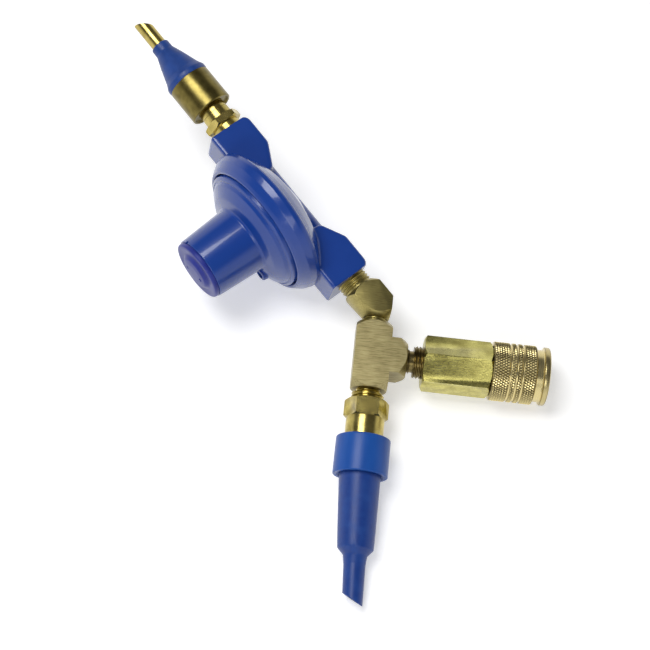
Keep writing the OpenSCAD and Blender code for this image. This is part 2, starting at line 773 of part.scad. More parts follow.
module lever() {
  color([0.60, 0.61, 0.62]) on_regulator() translate([lever_reach, 0, lever_rise]) difference() {
    union() {
      rotate([90, 0, 0]) cyl(lever_pin_r + 1, -hub_half, hub_half);
      translate([-lever_reach, -arm_wide, -arm_half]) cube([lever_reach, 2 * arm_wide, 2 * arm_half]);
      translate([-lever_reach, 0, 0]) rotate([90, 0, 0]) cyl(arm_end_r, -arm_wide, arm_wide);
      translate([-0.45, -2, -lever_rise]) cube([0.9, 4, lever_rise]);
      translate([0, 0, -lever_rise]) rotate([90, 0, 0]) cyl(arm_end_r, -2, 2);
    }
    rotate([90, 0, 0]) cyl(lever_pin_r + run_gap, -hub_half - 1, hub_half + 1);
  }
}

module lever_pin() {
  color([0.66, 0.67, 0.68]) on_regulator() translate([lever_reach, 0, lever_rise]) rotate([90, 0, 0])
    cyl(lever_pin_r, -hub_half - lug_t, hub_half + lug_t);
}

// ---- foil balloon valve ----

module foil_valve_body() {
  color([0.74, 0.64, 0.36]) on_foil() difference() {
    union() {
      thread_rod(big_r, big_pitch, -thread_grip, 0.6);
      cyl(foil_neck_r, 0, foil_sleeve_at + 0.5);
      hex_bar(foil_hex_af, foil_hex_af / 2 - 0.2, foil_hex_at, foil_hex_at + foil_hex_t);
      cyl(foil_body_r, foil_sleeve_at + 0.3, foil_body_end);
    }
    cyl(passage_d / 2, -thread_grip - 1, foil_floor + 1);
    cyl(foil_chamber_r, foil_floor, foil_body_end + 1);
  }
}

module foil_valve_sleeve() {
  color([0.82, 0.74, 0.50]) on_foil()
    spun([[foil_neck_r + tight_gap, foil_sleeve_at], [foil_sleeve_r - 0.3, foil_sleeve_at],
          [foil_sleeve_r, foil_sleeve_at + 0.3], [foil_sleeve_r, foil_sleeve_end],
          [foil_sleeve_r - foil_sleeve_wall, foil_sleeve_end],
          [foil_sleeve_r - foil_sleeve_wall, foil_sleeve_at + 0.3],
          [foil_neck_r + tight_gap, foil_sleeve_at + 0.3]]);
}

module foil_seat_washer() {
  color([0.10, 0.10, 0.10]) on_foil()
    pipe(foil_chamber_r - tight_gap, foil_tube_r + 0.7, foil_seat_at, foil_ring_at);
}

module foil_washer_ring() {
  color([0.70, 0.60, 0.34]) on_foil()
    pipe(foil_chamber_r - tight_gap, foil_tube_r + 1.1, foil_ring_at, foil_body_end);
}

module foil_return_spring() {
  color([0.62, 0.63, 0.64]) on_foil()
    coil(foil_head_r - 0.7, 0.4, foil_floor, foil_head_at, 4);
}

module foil_nozzle_tube() {
  color([0.80, 0.70, 0.42]) on_foil() difference() {
    union() {
      cyl(foil_inner_r, foil_head_at, boot_end);
      cyl(foil_tube_r, boot_end, foil_tip);
      cyl(foil_head_r, foil_head_at, foil_seat_at);
    }
    cyl(foil_tube_bore_r, foil_seat_at, foil_tip + 1);
    // side holes that let gas in when the head lifts
    for (turn = [0, 90]) rotate([0, 0, turn]) translate([0, 0, foil_seat_at + 0.9]) rotate([90, 0, 0])
      cyl(0.7, -foil_inner_r - 1, foil_inner_r + 1);
    slant_cut(foil_tube_r, foil_tip, foil_slant, foil_slant_turn);
  }
}

module foil_valve_boot() {
  r = foil_sleeve_r;
  root_r = foil_sleeve_r - foil_sleeve_wall - tight_gap;
  hole = foil_inner_r + tight_gap;
  color([0.13, 0.25, 0.53]) on_foil()
    spun([[hole + 2.2, foil_body_end], [root_r, foil_body_end], [root_r, foil_sleeve_end],
          [r - 0.1, foil_sleeve_end], [r + 0.15, foil_sleeve_end + 1], [r + 0.1, foil_sleeve_end + 2.4],
          [r - 0.5, foil_sleeve_end + 4], [r - 1.7, foil_sleeve_end + boot_len * 0.35],
          [r - 3.1, foil_sleeve_end + boot_len * 0.55], [boot_cuff_r + 0.7, boot_end - boot_cuff - 1.6],
          [boot_cuff_r, boot_end - boot_cuff], [boot_cuff_r - 0.1, boot_end - 0.4],
          [boot_cuff_r - 0.5, boot_end],
          [hole, boot_end], [hole, boot_end - boot_cuff - 4], [hole + 1.2, foil_sleeve_end + boot_len * 0.3],
          [hole + 2.2, foil_sleeve_end]]);
}

// ---- quick coupler ----

module coupler_body() {
  color([0.74, 0.68, 0.40]) on_branch() rotate([0, 0, coupler_turn]) difference() {
    hex_bar(coupler_hex_af, coupler_hex_af / 2 + 0.1, coupler_at, coupler_hex_end);
    cyl(big_hole_r, coupler_at - 1, coupler_at + 12);
    cyl(3.2, coupler_at, cavity_at + 1);
    cyl(cavity_r, cavity_at, coupler_hex_end + 1);
    cyl(socket_root_r + tight_gap, socket_root, coupler_hex_end + 1);
  }
}

module coupler_socket() {
  color([0.70, 0.62, 0.36]) on_branch() difference() {
    union() {
      cyl(socket_root_r, socket_root, coupler_hex_end);
      cyl(socket_r, coupler_hex_end, socket_end);
    }
    cyl(socket_back_r, socket_root - 1, valve_seat);
    cyl(plug_tip_r, valve_seat - 1, socket_end);
    cyl(plug_r, seal_at, socket_end + 1);
    cyl(seal_groove_r, seal_at, seal_at + seal_t);
    cone_z(plug_r, plug_r + 1.2, socket_end - 1.2, socket_end + 0.01);
    for (i = [0:3]) rotate([0, 0, i * 90 + 45]) translate([0, 0, ball_z]) rotate([0, 90, 0])
      cyl(ball_r + run_gap, plug_r - 2, socket_r + 2);
    // groove for the stop ring
    difference() {
      cyl(socket_r + 1, ring_at - tight_gap, ring_at + ring_t + tight_gap);
      cyl(socket_r - 0.7, ring_at - 1, ring_at + ring_t + 1);
    }
  }
}

module sleeve_ring() {
  color([0.60, 0.61, 0.62]) on_branch() pipe(ring_r, socket_r - 0.7 + tight_gap, ring_at, ring_at + ring_t);
}

module coupler_sleeve() {
  lip = 0.4;
  // three shallow grooves between two knurled bands
  first = sleeve_at + sleeve_len * 0.375;
  pitch = groove_w + sleeve_len * 0.09;
  color([0.68, 0.60, 0.36]) on_branch() difference() {
    spun([[0, sleeve_at], [sleeve_r - lip, sleeve_at], [sleeve_r, sleeve_at + lip],
          [sleeve_r, sleeve_band_end - lip], [sleeve_r - lip, sleeve_band_end],
          [sleeve_neck_r, sleeve_band_end], [sleeve_neck_r, sleeve_neck_end],
          [sleeve_lip_r, sleeve_neck_end], [sleeve_lip_r, sleeve_end - 0.5],
          [sleeve_lip_r - 0.5, sleeve_end], [0, sleeve_end]]);
    for (i = [0:2]) difference() {
      cyl(sleeve_r + 1, first + i * pitch, first + i * pitch + groove_w);
      cyl(sleeve_r - groove_d, sleeve_at, sleeve_end);
    }
    cyl(sleeve_bore_r, sleeve_at - 1, sleeve_end + 1);
    cyl(spring_pocket_r, sleeve_at - 1, spring_pocket_end);
    cone_z(sleeve_bore_r, cam_front_r, cam_back, cam_front);
    cyl(front_bore_r, front_bore_at, sleeve_end + 1);
  }
}

module sleeve_spring() {
  color([0.62, 0.63, 0.64]) on_branch()
    coil(socket_r + 1.1, 0.45, coupler_hex_end, spring_pocket_end, 3);
}

module locking_ball(i) {
  color([0.75, 0.76, 0.77]) on_branch() rotate([0, 0, i * 90 + 45]) translate([ball_out, 0, ball_z])
    sphere(r = ball_r, $fn = 32);
}

module locking_ball_1() {
  locking_ball(0);
}

module locking_ball_2() {
  locking_ball(1);
}

module locking_ball_3() {
  locking_ball(2);
}

module locking_ball_4() {
  locking_ball(3);
}

module coupler_valve() {
  color([0.76, 0.66, 0.38]) on_branch() difference() {
    union() {
      cyl(valve_head_r, valve_seat - valve_head_t, valve_seat);
      cyl(valve_nose_r, valve_seat, seal_at + 0.6);
    }
    cyl(valve_nose_r - 1.2, valve_seat - 0.5, seal_at + 2);
    for (turn = [0, 90]) rotate([0, 0, turn]) translate([0, 0, valve_seat + 0.9]) rotate([90, 0, 0])
      cyl(0.8, -valve_nose_r - 1, valve_nose_r + 1);
  }
}

module coupler_valve_spring() {
  color([0.62, 0.63, 0.64]) on_branch()
    coil(5, 0.45, cavity_at, valve_seat - valve_head_t, 6);
}

module plug_seal() {
  color([0.09, 0.09, 0.09]) on_branch()
    pipe(seal_groove_r - tight_gap, plug_tip_r, seal_at, seal_at + seal_t);
}

// ---- latex balloon valve ----

module latex_valve_body() {
  color([0.76, 0.66, 0.38]) on_outlet() difference() {
    union() {
      hex_bar(latex_hex_af, latex_hex_af / 2 - 0.1, latex_hex_at, latex_hex_end);
      cyl(latex_body_r, latex_hex_end, latex_body_end);
    }
    cyl(big_hole_r, latex_hex_at - 1, latex_hex_at + thread_grip + 0.6);
    cyl(passage_d / 2, latex_hex_at, latex_floor + 1);
    cyl(latex_chamber_r, latex_floor, latex_body_end + 1);
  }
}

module latex_collar() {
  color([0.14, 0.33, 0.65]) on_outlet() difference() {
    spun([[latex_body_r + tight_gap, collar_at], [collar_r - 0.8, collar_at], [collar_r, collar_at + 0.8],
          [collar_r + 0.1, collar_end - 0.8], [collar_r - 0.7, collar_end],
          [latex_body_r + tight_gap, collar_end]]);
    cyl(nozzle_top_r + 1.1, latex_body_end + 1.4, collar_end - 1.2);
    cyl(nozzle_top_r + tight_gap, collar_end - 2, collar_end + 1);
  }
}

module latex_seat_washer() {
  color([0.10, 0.10, 0.10]) on_outlet()
    pipe(latex_chamber_r - tight_gap, latex_stem_r + 0.7, latex_seat_at, latex_ring_at);
}

module latex_washer_ring() {
  color([0.70, 0.60, 0.34]) on_outlet()
    pipe(latex_chamber_r - tight_gap, latex_stem_r + 1.1, latex_ring_at, latex_body_end);
}

module latex_return_spring() {
  color([0.62, 0.63, 0.64]) on_outlet()
    coil(latex_head_r - 0.7, 0.4, latex_floor, latex_head_at, 4);
}

module latex_stem() {
  color([0.66, 0.67, 0.68]) on_outlet() difference() {
    union() {
      cyl(latex_stem_r, latex_head_at, nozzle_cone_at - 4);
      cyl(latex_head_r, latex_head_at, latex_seat_at);
    }
    cyl(latex_stem_r - 0.8, latex_seat_at, nozzle_tip);
    for (turn = [0, 90]) rotate([0, 0, turn]) translate([0, 0, latex_seat_at + 0.9]) rotate([90, 0, 0])
      cyl(0.7, -latex_stem_r - 1, latex_stem_r + 1);
  }
}

// the flexing foot of the nozzle, clamped in the collar
module latex_nozzle_root() {
  hole = latex_stem_r + 1.4;
  color([0.13, 0.25, 0.53]) on_outlet()
    spun([[hole, latex_body_end], [latex_body_r - 0.3, latex_body_end],
          [latex_body_r - 0.3, latex_body_end + 1.4], [nozzle_top_r + 1, latex_body_end + 1.4],
          [nozzle_top_r + 1, collar_end - 2 - free_gap],
          [nozzle_top_r, collar_end - 2 - free_gap], [nozzle_top_r, nozzle_join],
          [hole, nozzle_join]]);
}

module latex_nozzle() {
  slope = (nozzle_top_r - nozzle_foot_r) / nozzle_len;
  color([0.13, 0.25, 0.53]) on_outlet() difference() {
    spun([[0, nozzle_join], [nozzle_top_r - 3 * slope, nozzle_join],
          [nozzle_foot_r + 0.05, nozzle_cone_at - 1], [nozzle_foot_r - 0.5, nozzle_cone_at],
          [nozzle_tip_r + 0.3, nozzle_cone_end], [nozzle_tip_r - 0.1, nozzle_cone_end + 1],
          [nozzle_tip_r - 0.5, nozzle_tip], [0, nozzle_tip]]);
    cyl(latex_stem_r + tight_gap, nozzle_join - 1, nozzle_cone_at - 4);
    cyl(latex_stem_r - 0.8, nozzle_cone_at - 5, nozzle_tip + 1);
    slant_cut(nozzle_tip_r - 0.5, nozzle_tip, nozzle_slant, nozzle_slant_turn);
  }
}

branch_tee();
elbow_45();
coupler_nipple();
latex_nipple();
regulator_body();
regulator_bonnet();
diaphragm();
diaphragm_plate();
diaphragm_stem();
main_spring();
spring_seat();
adjusting_screw();
closing_cap();
cap_seal();
inlet_orifice();
valve_plunger();
valve_disc();
lever();
lever_pin();
vent_screen();
foil_valve_body();
foil_valve_sleeve();
foil_seat_washer();
foil_washer_ring();
foil_return_spring();
foil_nozzle_tube();
foil_valve_boot();
coupler_body();
coupler_socket();
coupler_sleeve();
sleeve_spring();
sleeve_ring();
locking_ball_1();
locking_ball_2();
locking_ball_3();
locking_ball_4();
coupler_valve();
coupler_valve_spring();
plug_seal();
latex_valve_body();
latex_collar();
latex_seat_washer();
latex_washer_ring();
latex_return_spring();
latex_stem();
latex_nozzle_root();
latex_nozzle();
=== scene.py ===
import json
import math

import bpy
from mathutils import Matrix, Vector


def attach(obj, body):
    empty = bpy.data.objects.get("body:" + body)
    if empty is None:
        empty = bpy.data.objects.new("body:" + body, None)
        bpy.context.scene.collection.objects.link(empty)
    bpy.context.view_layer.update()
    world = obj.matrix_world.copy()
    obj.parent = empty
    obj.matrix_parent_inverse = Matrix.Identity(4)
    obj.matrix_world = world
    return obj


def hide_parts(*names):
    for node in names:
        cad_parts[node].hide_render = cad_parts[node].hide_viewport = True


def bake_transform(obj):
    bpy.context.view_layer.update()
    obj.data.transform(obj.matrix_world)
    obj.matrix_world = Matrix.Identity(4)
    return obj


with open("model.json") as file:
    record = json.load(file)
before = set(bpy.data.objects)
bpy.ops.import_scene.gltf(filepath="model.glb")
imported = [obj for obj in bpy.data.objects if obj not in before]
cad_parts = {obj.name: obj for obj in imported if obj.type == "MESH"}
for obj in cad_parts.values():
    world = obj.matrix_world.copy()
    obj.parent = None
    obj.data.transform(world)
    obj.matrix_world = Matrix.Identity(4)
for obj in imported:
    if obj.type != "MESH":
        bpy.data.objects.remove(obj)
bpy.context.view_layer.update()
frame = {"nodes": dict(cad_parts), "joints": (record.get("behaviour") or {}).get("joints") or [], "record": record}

MM = 0.001
TURN = 2 * math.pi

# ---- camera, in millimetres on the table ----

CAMERA_AT = Vector((36.3, -305.08, 635.93))
CAMERA_LOOK = Vector((-0.0545, 0.4388, -0.8969))
CAMERA_UP = Vector((-0.0781, 0.8936, 0.442))
CAMERA_LENS = 89.95


def make_camera():
    data = bpy.data.cameras.new("camera")
    data.lens = CAMERA_LENS
    camera = bpy.data.objects.new("camera", data)
    bpy.context.scene.collection.objects.link(camera)
    back = -CAMERA_LOOK.normalized()
    right = CAMERA_UP.cross(back).normalized()
    basis = Matrix((right, back.cross(right), back)).transposed()
    camera.matrix_world = Matrix.Translation(CAMERA_AT * MM) @ basis.to_4x4()
    bpy.context.scene.camera = camera


make_camera()

# ---- places, worked out from the frame's mounts and joints ----

mounts = {mount["name"]: mount for mount in frame["record"]["mounts"]}
joints = {joint["name"]: joint for joint in frame["joints"]}
PORT_HALF = 41.8


def axis_line(entry):
    return Vector(entry["pos_m"]), Vector(entry["axis"]).normalized()


def crossing(first, second):
    """The point of the first line that lies nearest to the second."""
    (p, u), (q, v) = first, second
    w = p - q
    lean = u.dot(v)
    return p + u * ((lean * v.dot(w) - u.dot(w)) / (1 - lean * lean))


def placing(origin, x, z):
    """From a piece's own millimetres to the frame's metres, with z along the piece's axis."""
    z = z.normalized()
    x = (x - z * x.dot(z)).normalized()
    basis = Matrix((x, z.cross(x), z)).transposed()
    return Matrix.Translation(origin) @ basis.to_4x4() @ Matrix.Scale(MM, 4)


inlet = axis_line(mounts["gas_inlet"])
outlet = axis_line(mounts["latex_outlet"])
ports = axis_line(mounts["foil_outlet"])
tower = axis_line(joints["screw_turn"])
tee_centre = crossing(inlet, outlet)
elbow_centre = crossing(outlet, ports)
regulator_centre = crossing(ports, tower)
viewer = inlet[1].cross(-outlet[1])

FITTINGS = placing(tee_centre, inlet[1], viewer)
BRANCH = placing(tee_centre, -viewer, inlet[1])
OUTLET = placing(tee_centre, inlet[1], outlet[1])
elbow_x = (-ports[1] - outlet[1] * (-ports[1]).dot(outlet[1])).normalized()
ELBOW = placing(elbow_centre, elbow_x, elbow_x.cross(-outlet[1]))
REGULATOR = placing(regulator_centre, ports[1], tower[1])
FOIL = placing(regulator_centre + ports[1] * PORT_HALF * MM, -tower[1], ports[1])

# ---- modelling ----

LATHE_STEPS = 128
BROAD_STEPS = 160
SOFT_STEPS = 96
TUBE_STEPS = 64
HOLE_STEPS = 48
VENT_STEPS = 32
PIN_STEPS = 24
POINT_JOIN = 1e-5
MESH_JOIN = 1e-4
FILLET_ROOM = 0.49


def pick(*pieces):
    bpy.ops.object.select_all(action="DESELECT")
    for piece in pieces:
        piece.select_set(True)
    bpy.context.view_layer.objects.active = pieces[0]


def edit(piece):
    pick(piece)
    bpy.ops.object.mode_set(mode="EDIT")
    bpy.ops.mesh.select_all(action="SELECT")


def leave_edit():
    bpy.ops.object.mode_set(mode="OBJECT")
    return bpy.context.object


def close_mesh(threshold):
    """Joins the points that meet, turns the faces outward and leaves edit mode."""
    bpy.ops.mesh.select_all(action="SELECT")
    bpy.ops.mesh.remove_doubles(threshold=threshold)
    bpy.ops.mesh.normals_make_consistent(inside=False)
    return leave_edit()


def modify(piece, kind, **settings):
    """Adds a modifier, sets it and applies it."""
    pick(piece)
    modifier = piece.modifiers.new(kind.title(), kind)
    for key, value in settings.items():
        setattr(modifier, key, value)
    bpy.ops.object.modifier_apply(modifier=modifier.name)
    return piece


def combine(piece, tool, operation):
    modify(piece, "BOOLEAN", object=tool, operation=operation, solver="EXACT")
    bpy.data.objects.remove(tool)
    return piece


def cut(piece, tool):
    """Cuts a second solid out of a piece."""
    return combine(piece, tool, "DIFFERENCE")


def weld(piece, tool):
    """Joins a second solid to a piece."""
    return combine(piece, tool, "UNION")


def keep(piece, tool):
    """Keeps of a piece what a second solid also fills."""
    return combine(piece, tool, "INTERSECT")


def rounded(corners, closed=False, steps=5):
    """An outline whose (radius, height, fillet) corners are rounded by arcs."""
    outline = []
    for i, corner in enumerate(corners):
        here = Vector(corner[:2])
        fillet = corner[2] if len(corner) > 2 else 0
        ends = not closed and i in (0, len(corners) - 1)
        if not fillet or ends:
            outline.append(tuple(here))
            continue
        back = Vector(corners[i - 1][:2]) - here
        on = Vector(corners[(i + 1) % len(corners)][:2]) - here
        half = back.angle(on) / 2
        room = FILLET_ROOM * min(back.length, on.length)
        reach = min(fillet / math.tan(half), room)
        middle = (back.normalized() + on.normalized()).normalized()
        centre = here + middle * (reach / math.cos(half))
        start = here + back.normalized() * reach - centre
        end = here + on.normalized() * reach - centre
        sweep = start.angle(end)
        for k in range(steps + 1):
            a = sweep * k / steps
            spoke = (start * math.sin(sweep - a) + end * math.sin(a)) / math.sin(sweep)
            outline.append(tuple(centre + spoke))
    return outline


def stepped(outline, longest):
    """The same outline with its long stretches divided."""
    dense = [outline[0]]
    for a, b in zip(outline, outline[1:]):
        parts = max(1, math.ceil(math.dist(a, b) / longest))
        for k in range(1, parts + 1):
            dense.append((a[0] + (b[0] - a[0]) * k / parts, a[1] + (b[1] - a[1]) * k / parts))
    return dense


def draw(outline):
    """An outline in the XZ plane, extruded point by point from one vertex."""
    bpy.ops.object.select_all(action="DESELECT")
    bpy.ops.mesh.primitive_plane_add(size=1)
    bpy.ops.object.mode_set(mode="EDIT")
    bpy.ops.mesh.merge(type="CENTER")
    r, z = outline[0]
    bpy.ops.transform.translate(value=(r, 0, z))
    for next_r, next_z in outline[1:]:
        step = (next_r - r, 0, next_z - z)
        bpy.ops.mesh.extrude_region_move(TRANSFORM_OT_translate={"value": step})
        r, z = next_r, next_z
    bpy.ops.mesh.select_all(action="SELECT")
    bpy.ops.mesh.remove_doubles(threshold=POINT_JOIN)


def lathe(outline, steps=LATHE_STEPS, closed=False):
    """Spins an outline of (radius, height) points round Z."""
    draw(outline + [outline[0]] if closed else outline)
    bpy.ops.mesh.spin(steps=steps, angle=TURN, center=(0, 0, 0), axis=(0, 0, 1))
    return close_mesh(MESH_JOIN)


def hollow(corners, steps=LATHE_STEPS, arc=5):
    """Spins a closed outline that stays clear of the axis."""
    return lathe(rounded(corners, closed=True, steps=arc), steps, closed=True)


def soft(outline, longest):
    """Spins a closed outline for a rubber piece, with rows of faces close enough to bend."""
    return lathe(stepped(outline + outline[:1], longest)[:-1], SOFT_STEPS, closed=True)


def prism(outline, half_depth):
    """An outline in the XZ plane, thickened to both sides."""
    draw(outline + outline[:1])
    bpy.ops.mesh.edge_face_add()
    bpy.ops.mesh.extrude_region_move(TRANSFORM_OT_translate={"value": (0, 2 * half_depth, 0)})
    bpy.ops.mesh.select_all(action="SELECT")
    bpy.ops.mesh.normals_make_consistent(inside=False)
    return turn(leave_edit(), shift=(0, -half_depth, 0))


def rod(radius, low, high, steps=LATHE_STEPS):
    return lathe([(0, low), (radius, low), (radius, high), (0, high)], steps)


def box(low, high):
    low, high = Vector(low), Vector(high)
    bpy.ops.object.select_all(action="DESELECT")
    bpy.ops.mesh.primitive_cube_add(size=1, location=(low + high) / 2, scale=high - low)
    bpy.ops.object.transform_apply()
    return bpy.context.object


def turn(piece, x=0, y=0, z=0, shift=(0, 0, 0)):
    piece.rotation_euler = [math.radians(a) for a in (x, y, z)]
    piece.location = shift
    pick(piece)
    bpy.ops.object.transform_apply()
    return piece


def bore(piece, *holes):
    """Drills holes, each a radius and two heights, along the piece's axis."""
    for radius, low, high in holes:
        cut(piece, rod(radius, low, high))


def cut_square(piece, level, away):
    """Cuts off what lies beyond a level on the piece's axis, and closes the cut."""
    edit(piece)
    bpy.ops.mesh.bisect(
        plane_co=(0, 0, level), plane_no=(0, 0, away), use_fill=True, clear_outer=True,
    )
    leave_edit()


def bevel(piece, width, segments=2, angle=28):
    return modify(
        piece, "BEVEL", width=width, segments=segments, limit_method="ANGLE",
        angle_limit=math.radians(angle), harden_normals=False,
    )


def smooth(piece, angle=35):
    pick(piece)
    bpy.ops.object.shade_smooth_by_angle(angle=math.radians(angle))
    return piece


THREAD_DEPTH = 0.62
THREAD_STEPS = 48


def threaded(radius, pitch, low, high):
    """A rod with a right-hand helical thread: one tooth screwed up the rod, then cut square."""
    root = radius - THREAD_DEPTH
    tooth = [(root, 0), (root, 0.1), (radius, 0.48), (radius, 0.58), (root, 0.98), (root, 1)]
    draw([(r, share * pitch + low - pitch) for r, share in tooth])
    screw = leave_edit()
    modify(
        screw, "SCREW", axis="Z", angle=TURN, screw_offset=pitch, steps=THREAD_STEPS,
        render_steps=THREAD_STEPS, iterations=math.ceil((high - low) / pitch) + 2,
        use_merge_vertices=True, merge_threshold=MESH_JOIN,
    )
    cut_square(screw, low, -1)
    cut_square(screw, high, 1)
    edit(screw)
    return close_mesh(MESH_JOIN)


def finish_piece(piece, place, nodes, material):
    """Puts a piece in the frame, gives it its material and hides the frame's pieces that it stands for."""
    piece.matrix_world = place
    pick(piece)
    bpy.ops.object.transform_apply()
    piece.data.materials.clear()
    piece.data.materials.append(material)
    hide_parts(*nodes)


def set_down(piece, name, place, body, nodes, material):
    """Finishes a rigid piece, which rides on one body."""
    piece.name = piece.data.name = name
    finish_piece(piece, place, nodes, material)
    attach(piece, body)


# ---- materials ----


BUMP_STRENGTH = 0.8


def linear(colour):
    """A colour given as sRGB hex, in the linear values that shaders take."""
    parts = [int(colour[i:i + 2], 16) / 255 for i in (1, 3, 5)]
    return tuple(c / 12.92 if c <= 0.04045 else ((c + 0.055) / 1.055) ** 2.4 for c in parts) + (1,)


def add_node(tree, kind, settings=None, inputs=None, out=0):
    """Adds one node with its settings, sets or links its inputs, and gives one of its outputs."""
    made = tree.nodes.new(kind)
    for key, value in (settings or {}).items():
        setattr(made, key, value)
    for key, value in (inputs or {}).items():
        if isinstance(value, bpy.types.NodeSocket):
            tree.links.new(value, made.inputs[key])
        else:
            made.inputs[key].default_value = value
    return made.outputs[out]


def start_material(name, place, **shader):
    """A material with its shader's even values set, and the piece's own millimetres."""
    material = bpy.data.materials.new(name)
    material.use_nodes = True
    tree = material.node_tree
    surface = tree.nodes["Principled BSDF"]
    for key, value in shader.items():
        surface.inputs[key.replace("_", " ")].default_value = value
    origin, rotation, _ = place.decompose()
    point = add_node(tree, "ShaderNodeMapping", {"vector_type": "TEXTURE"}, {
        "Vector": add_node(tree, "ShaderNodeTexCoord", out="Object"),
        "Location": origin, "Rotation": rotation.to_euler(), "Scale": (MM, MM, MM),
    })
    return material, tree, point


def grain(tree, point, size, low=0.0, high=1.0, detail=3, stretch=(1, 1, 1)):
    """A mask whose marks are about size millimetres across: 0 below low, 1 above high."""
    scale = tuple(part / size for part in stretch)
    moved = add_node(tree, "ShaderNodeMapping", None, {"Vector": point, "Scale": scale})
    marks = add_node(
        tree, "ShaderNodeTexNoise", None, {"Vector": moved, "Scale": 1.0, "Detail": detail},
    )
    return add_node(
        tree, "ShaderNodeMapRange", None, {"Value": marks, "From Min": low, "From Max": high},
    )


def round_the_axis(tree, point):
    """Radius and height only, so that a pattern made on it runs round the piece."""
    x = add_node(tree, "ShaderNodeSeparateXYZ", None, {0: point})
    flat = add_node(tree, "ShaderNodeCombineXYZ", None, {0: x, 1: x.node.outputs[1]})
    radius = add_node(tree, "ShaderNodeVectorMath", {"operation": "LENGTH"}, {0: flat}, "Value")
    return radius, add_node(tree, "ShaderNodeCombineXYZ", None, {0: radius, 2: x.node.outputs[2]})


def finish_surface(tree, mask, tones, roughness, bumps):
    """Two tones by a mask, roughness by a mask, and bumps one on the other with depths in mm."""
    surface = tree.nodes["Principled BSDF"]
    colour = add_node(tree, "ShaderNodeMix", {"data_type": "RGBA"}, {
        0: mask, 6: linear(tones[0]), 7: linear(tones[1]),
    }, 2)
    tree.links.new(colour, surface.inputs["Base Color"])
    rough_mask, smooth_value, rough_value = roughness
    spread = add_node(tree, "ShaderNodeMapRange", None, {
        "Value": rough_mask, "To Min": smooth_value, "To Max": rough_value,
    })
    tree.links.new(spread, surface.inputs["Roughness"])
    normal = None
    for height, depth in bumps:
        inputs = {"Height": height, "Distance": depth * MM, "Strength": BUMP_STRENGTH}
        if normal:
            inputs["Normal"] = normal
        normal = add_node(tree, "ShaderNodeBump", None, inputs)
    tree.links.new(normal, surface.inputs["Normal"])


def gloss_enamel(name, place):
    """Gloss enamel sprayed on a zinc die casting: even blue, sharp highlights, soft orange peel."""
    material, tree, point = start_material(
        name, place, IOR=1.5, Specular_IOR_Level=0.38, Coat_Weight=0.42, Coat_Roughness=0.04,
    )
    patches = grain(tree, point, 9, low=0.1, high=0.9, detail=2)
    peel = grain(tree, point, 6, detail=1)
    dust = grain(tree, point, 0.9, detail=2)
    finish_surface(
        tree, patches, ("#133C8E", "#154096"), (patches, 0.23, 0.27),
        [(peel, 0.035), (dust, 0.006)],
    )
    return material


def moulded_plastic(name, place, dark, light, gloss, size):
    """Injection-moulded nylon: satin, with a fine even grain and slight flow marks along it."""
    material, tree, point = start_material(name, place, IOR=1.49, Specular_IOR_Level=0.3)
    flow = grain(tree, point, 5, low=0.3, high=0.7, stretch=(1, 1, 0.3))
    fine = grain(tree, point, size, detail=2)
    finish_surface(tree, flow, (dark, light), (flow, gloss, gloss + 0.08), [(fine, 0.015)])
    return material


def moulded_rubber(name, place, dark, light):
    """Moulded natural rubber: dull, slightly chalky, with fine pits and mould lines round it."""
    material, tree, point = start_material(
        name, place, IOR=1.52, Specular_IOR_Level=0.35, Sheen_Weight=0.03, Sheen_Roughness=0.5,
    )
    chalk = grain(tree, point, 4, low=0.35, high=0.7, detail=5)
    _, round_it = round_the_axis(tree, point)
    mould_lines = grain(tree, round_it, 0.8, detail=2)
    pits = grain(tree, point, 0.5, detail=2)
    finish_surface(
        tree, chalk, (dark, light), (chalk, 0.36, 0.48), [(mould_lines, 0.012), (pits, 0.012)],
    )
    return material


def turned_brass(name, place, dark, light, rough=0.2, line=0.45):
    """Free-cutting brass turned on a lathe: bright, with fine lines that run round it."""
    material, tree, point = start_material(name, place, Metallic=1.0)
    _, round_it = round_the_axis(tree, point)
    lines = grain(tree, round_it, line, low=0.3, high=0.7)
    stains = grain(tree, point, 3.5, low=0.28, high=0.75, detail=2)
    finish_surface(tree, stains, (dark, light), (lines, rough, rough + 0.06), [(lines, 0.0018)])
    return material


def knurled_brass(name, place, dark, light):
    """Rolled knurling in brass: the diamond tops light and the cuts dark, the dark being painted shade in the
    cuts.
    """
    material, tree, point = start_material(name, place, Metallic=1.0)
    radius, round_it = round_the_axis(tree, point)
    # painted shade: the colour darkens with depth into the knurl cuts, and stays light on the diamond tops and on
    # the smooth surfaces below the knurling
    tops = add_node(tree, "ShaderNodeMapRange", None, {
        "Value": radius, "From Min": SLEEVE_R - KNURL_DEPTH, "From Max": SLEEVE_R - KNURL_LIT_DEPTH,
    })
    bare = add_node(tree, "ShaderNodeMath", {"operation": "LESS_THAN"}, {
        0: radius, 1: SLEEVE_R - KNURL_DEPTH - KNURL_CLEAR,
    })
    outside_cut_shade = add_node(tree, "ShaderNodeMath", {"operation": "MAXIMUM"}, {0: tops, 1: bare})
    lines = grain(tree, round_it, 0.3, low=0.3, high=0.7)
    finish_surface(tree, outside_cut_shade, (dark, light), (lines, 0.2, 0.32), [(lines, 0.006)])
    return material


def bar_brass(name, place, dark, light, rough, along, scratched=0.5):
    """Extruded brass bar, linished: long straight scratches, small pits and darker stains."""
    material, tree, point = start_material(name, place, Metallic=1.0)
    scratches = grain(tree, point, 0.42, low=0.3, high=0.56, detail=5, stretch=along)
    stains = grain(tree, point, 5, low=0.3, high=0.72)
    mixed = add_node(tree, "ShaderNodeMix", None, {0: scratched, 2: stains, 3: scratches})
    pits = grain(tree, point, 0.8, low=0.25, high=0.42)
    finish_surface(
        tree, mixed, (dark, light), (scratches, rough + 0.14, rough),
        [(scratches, 0.012), (pits, 0.012)],
    )
    return material


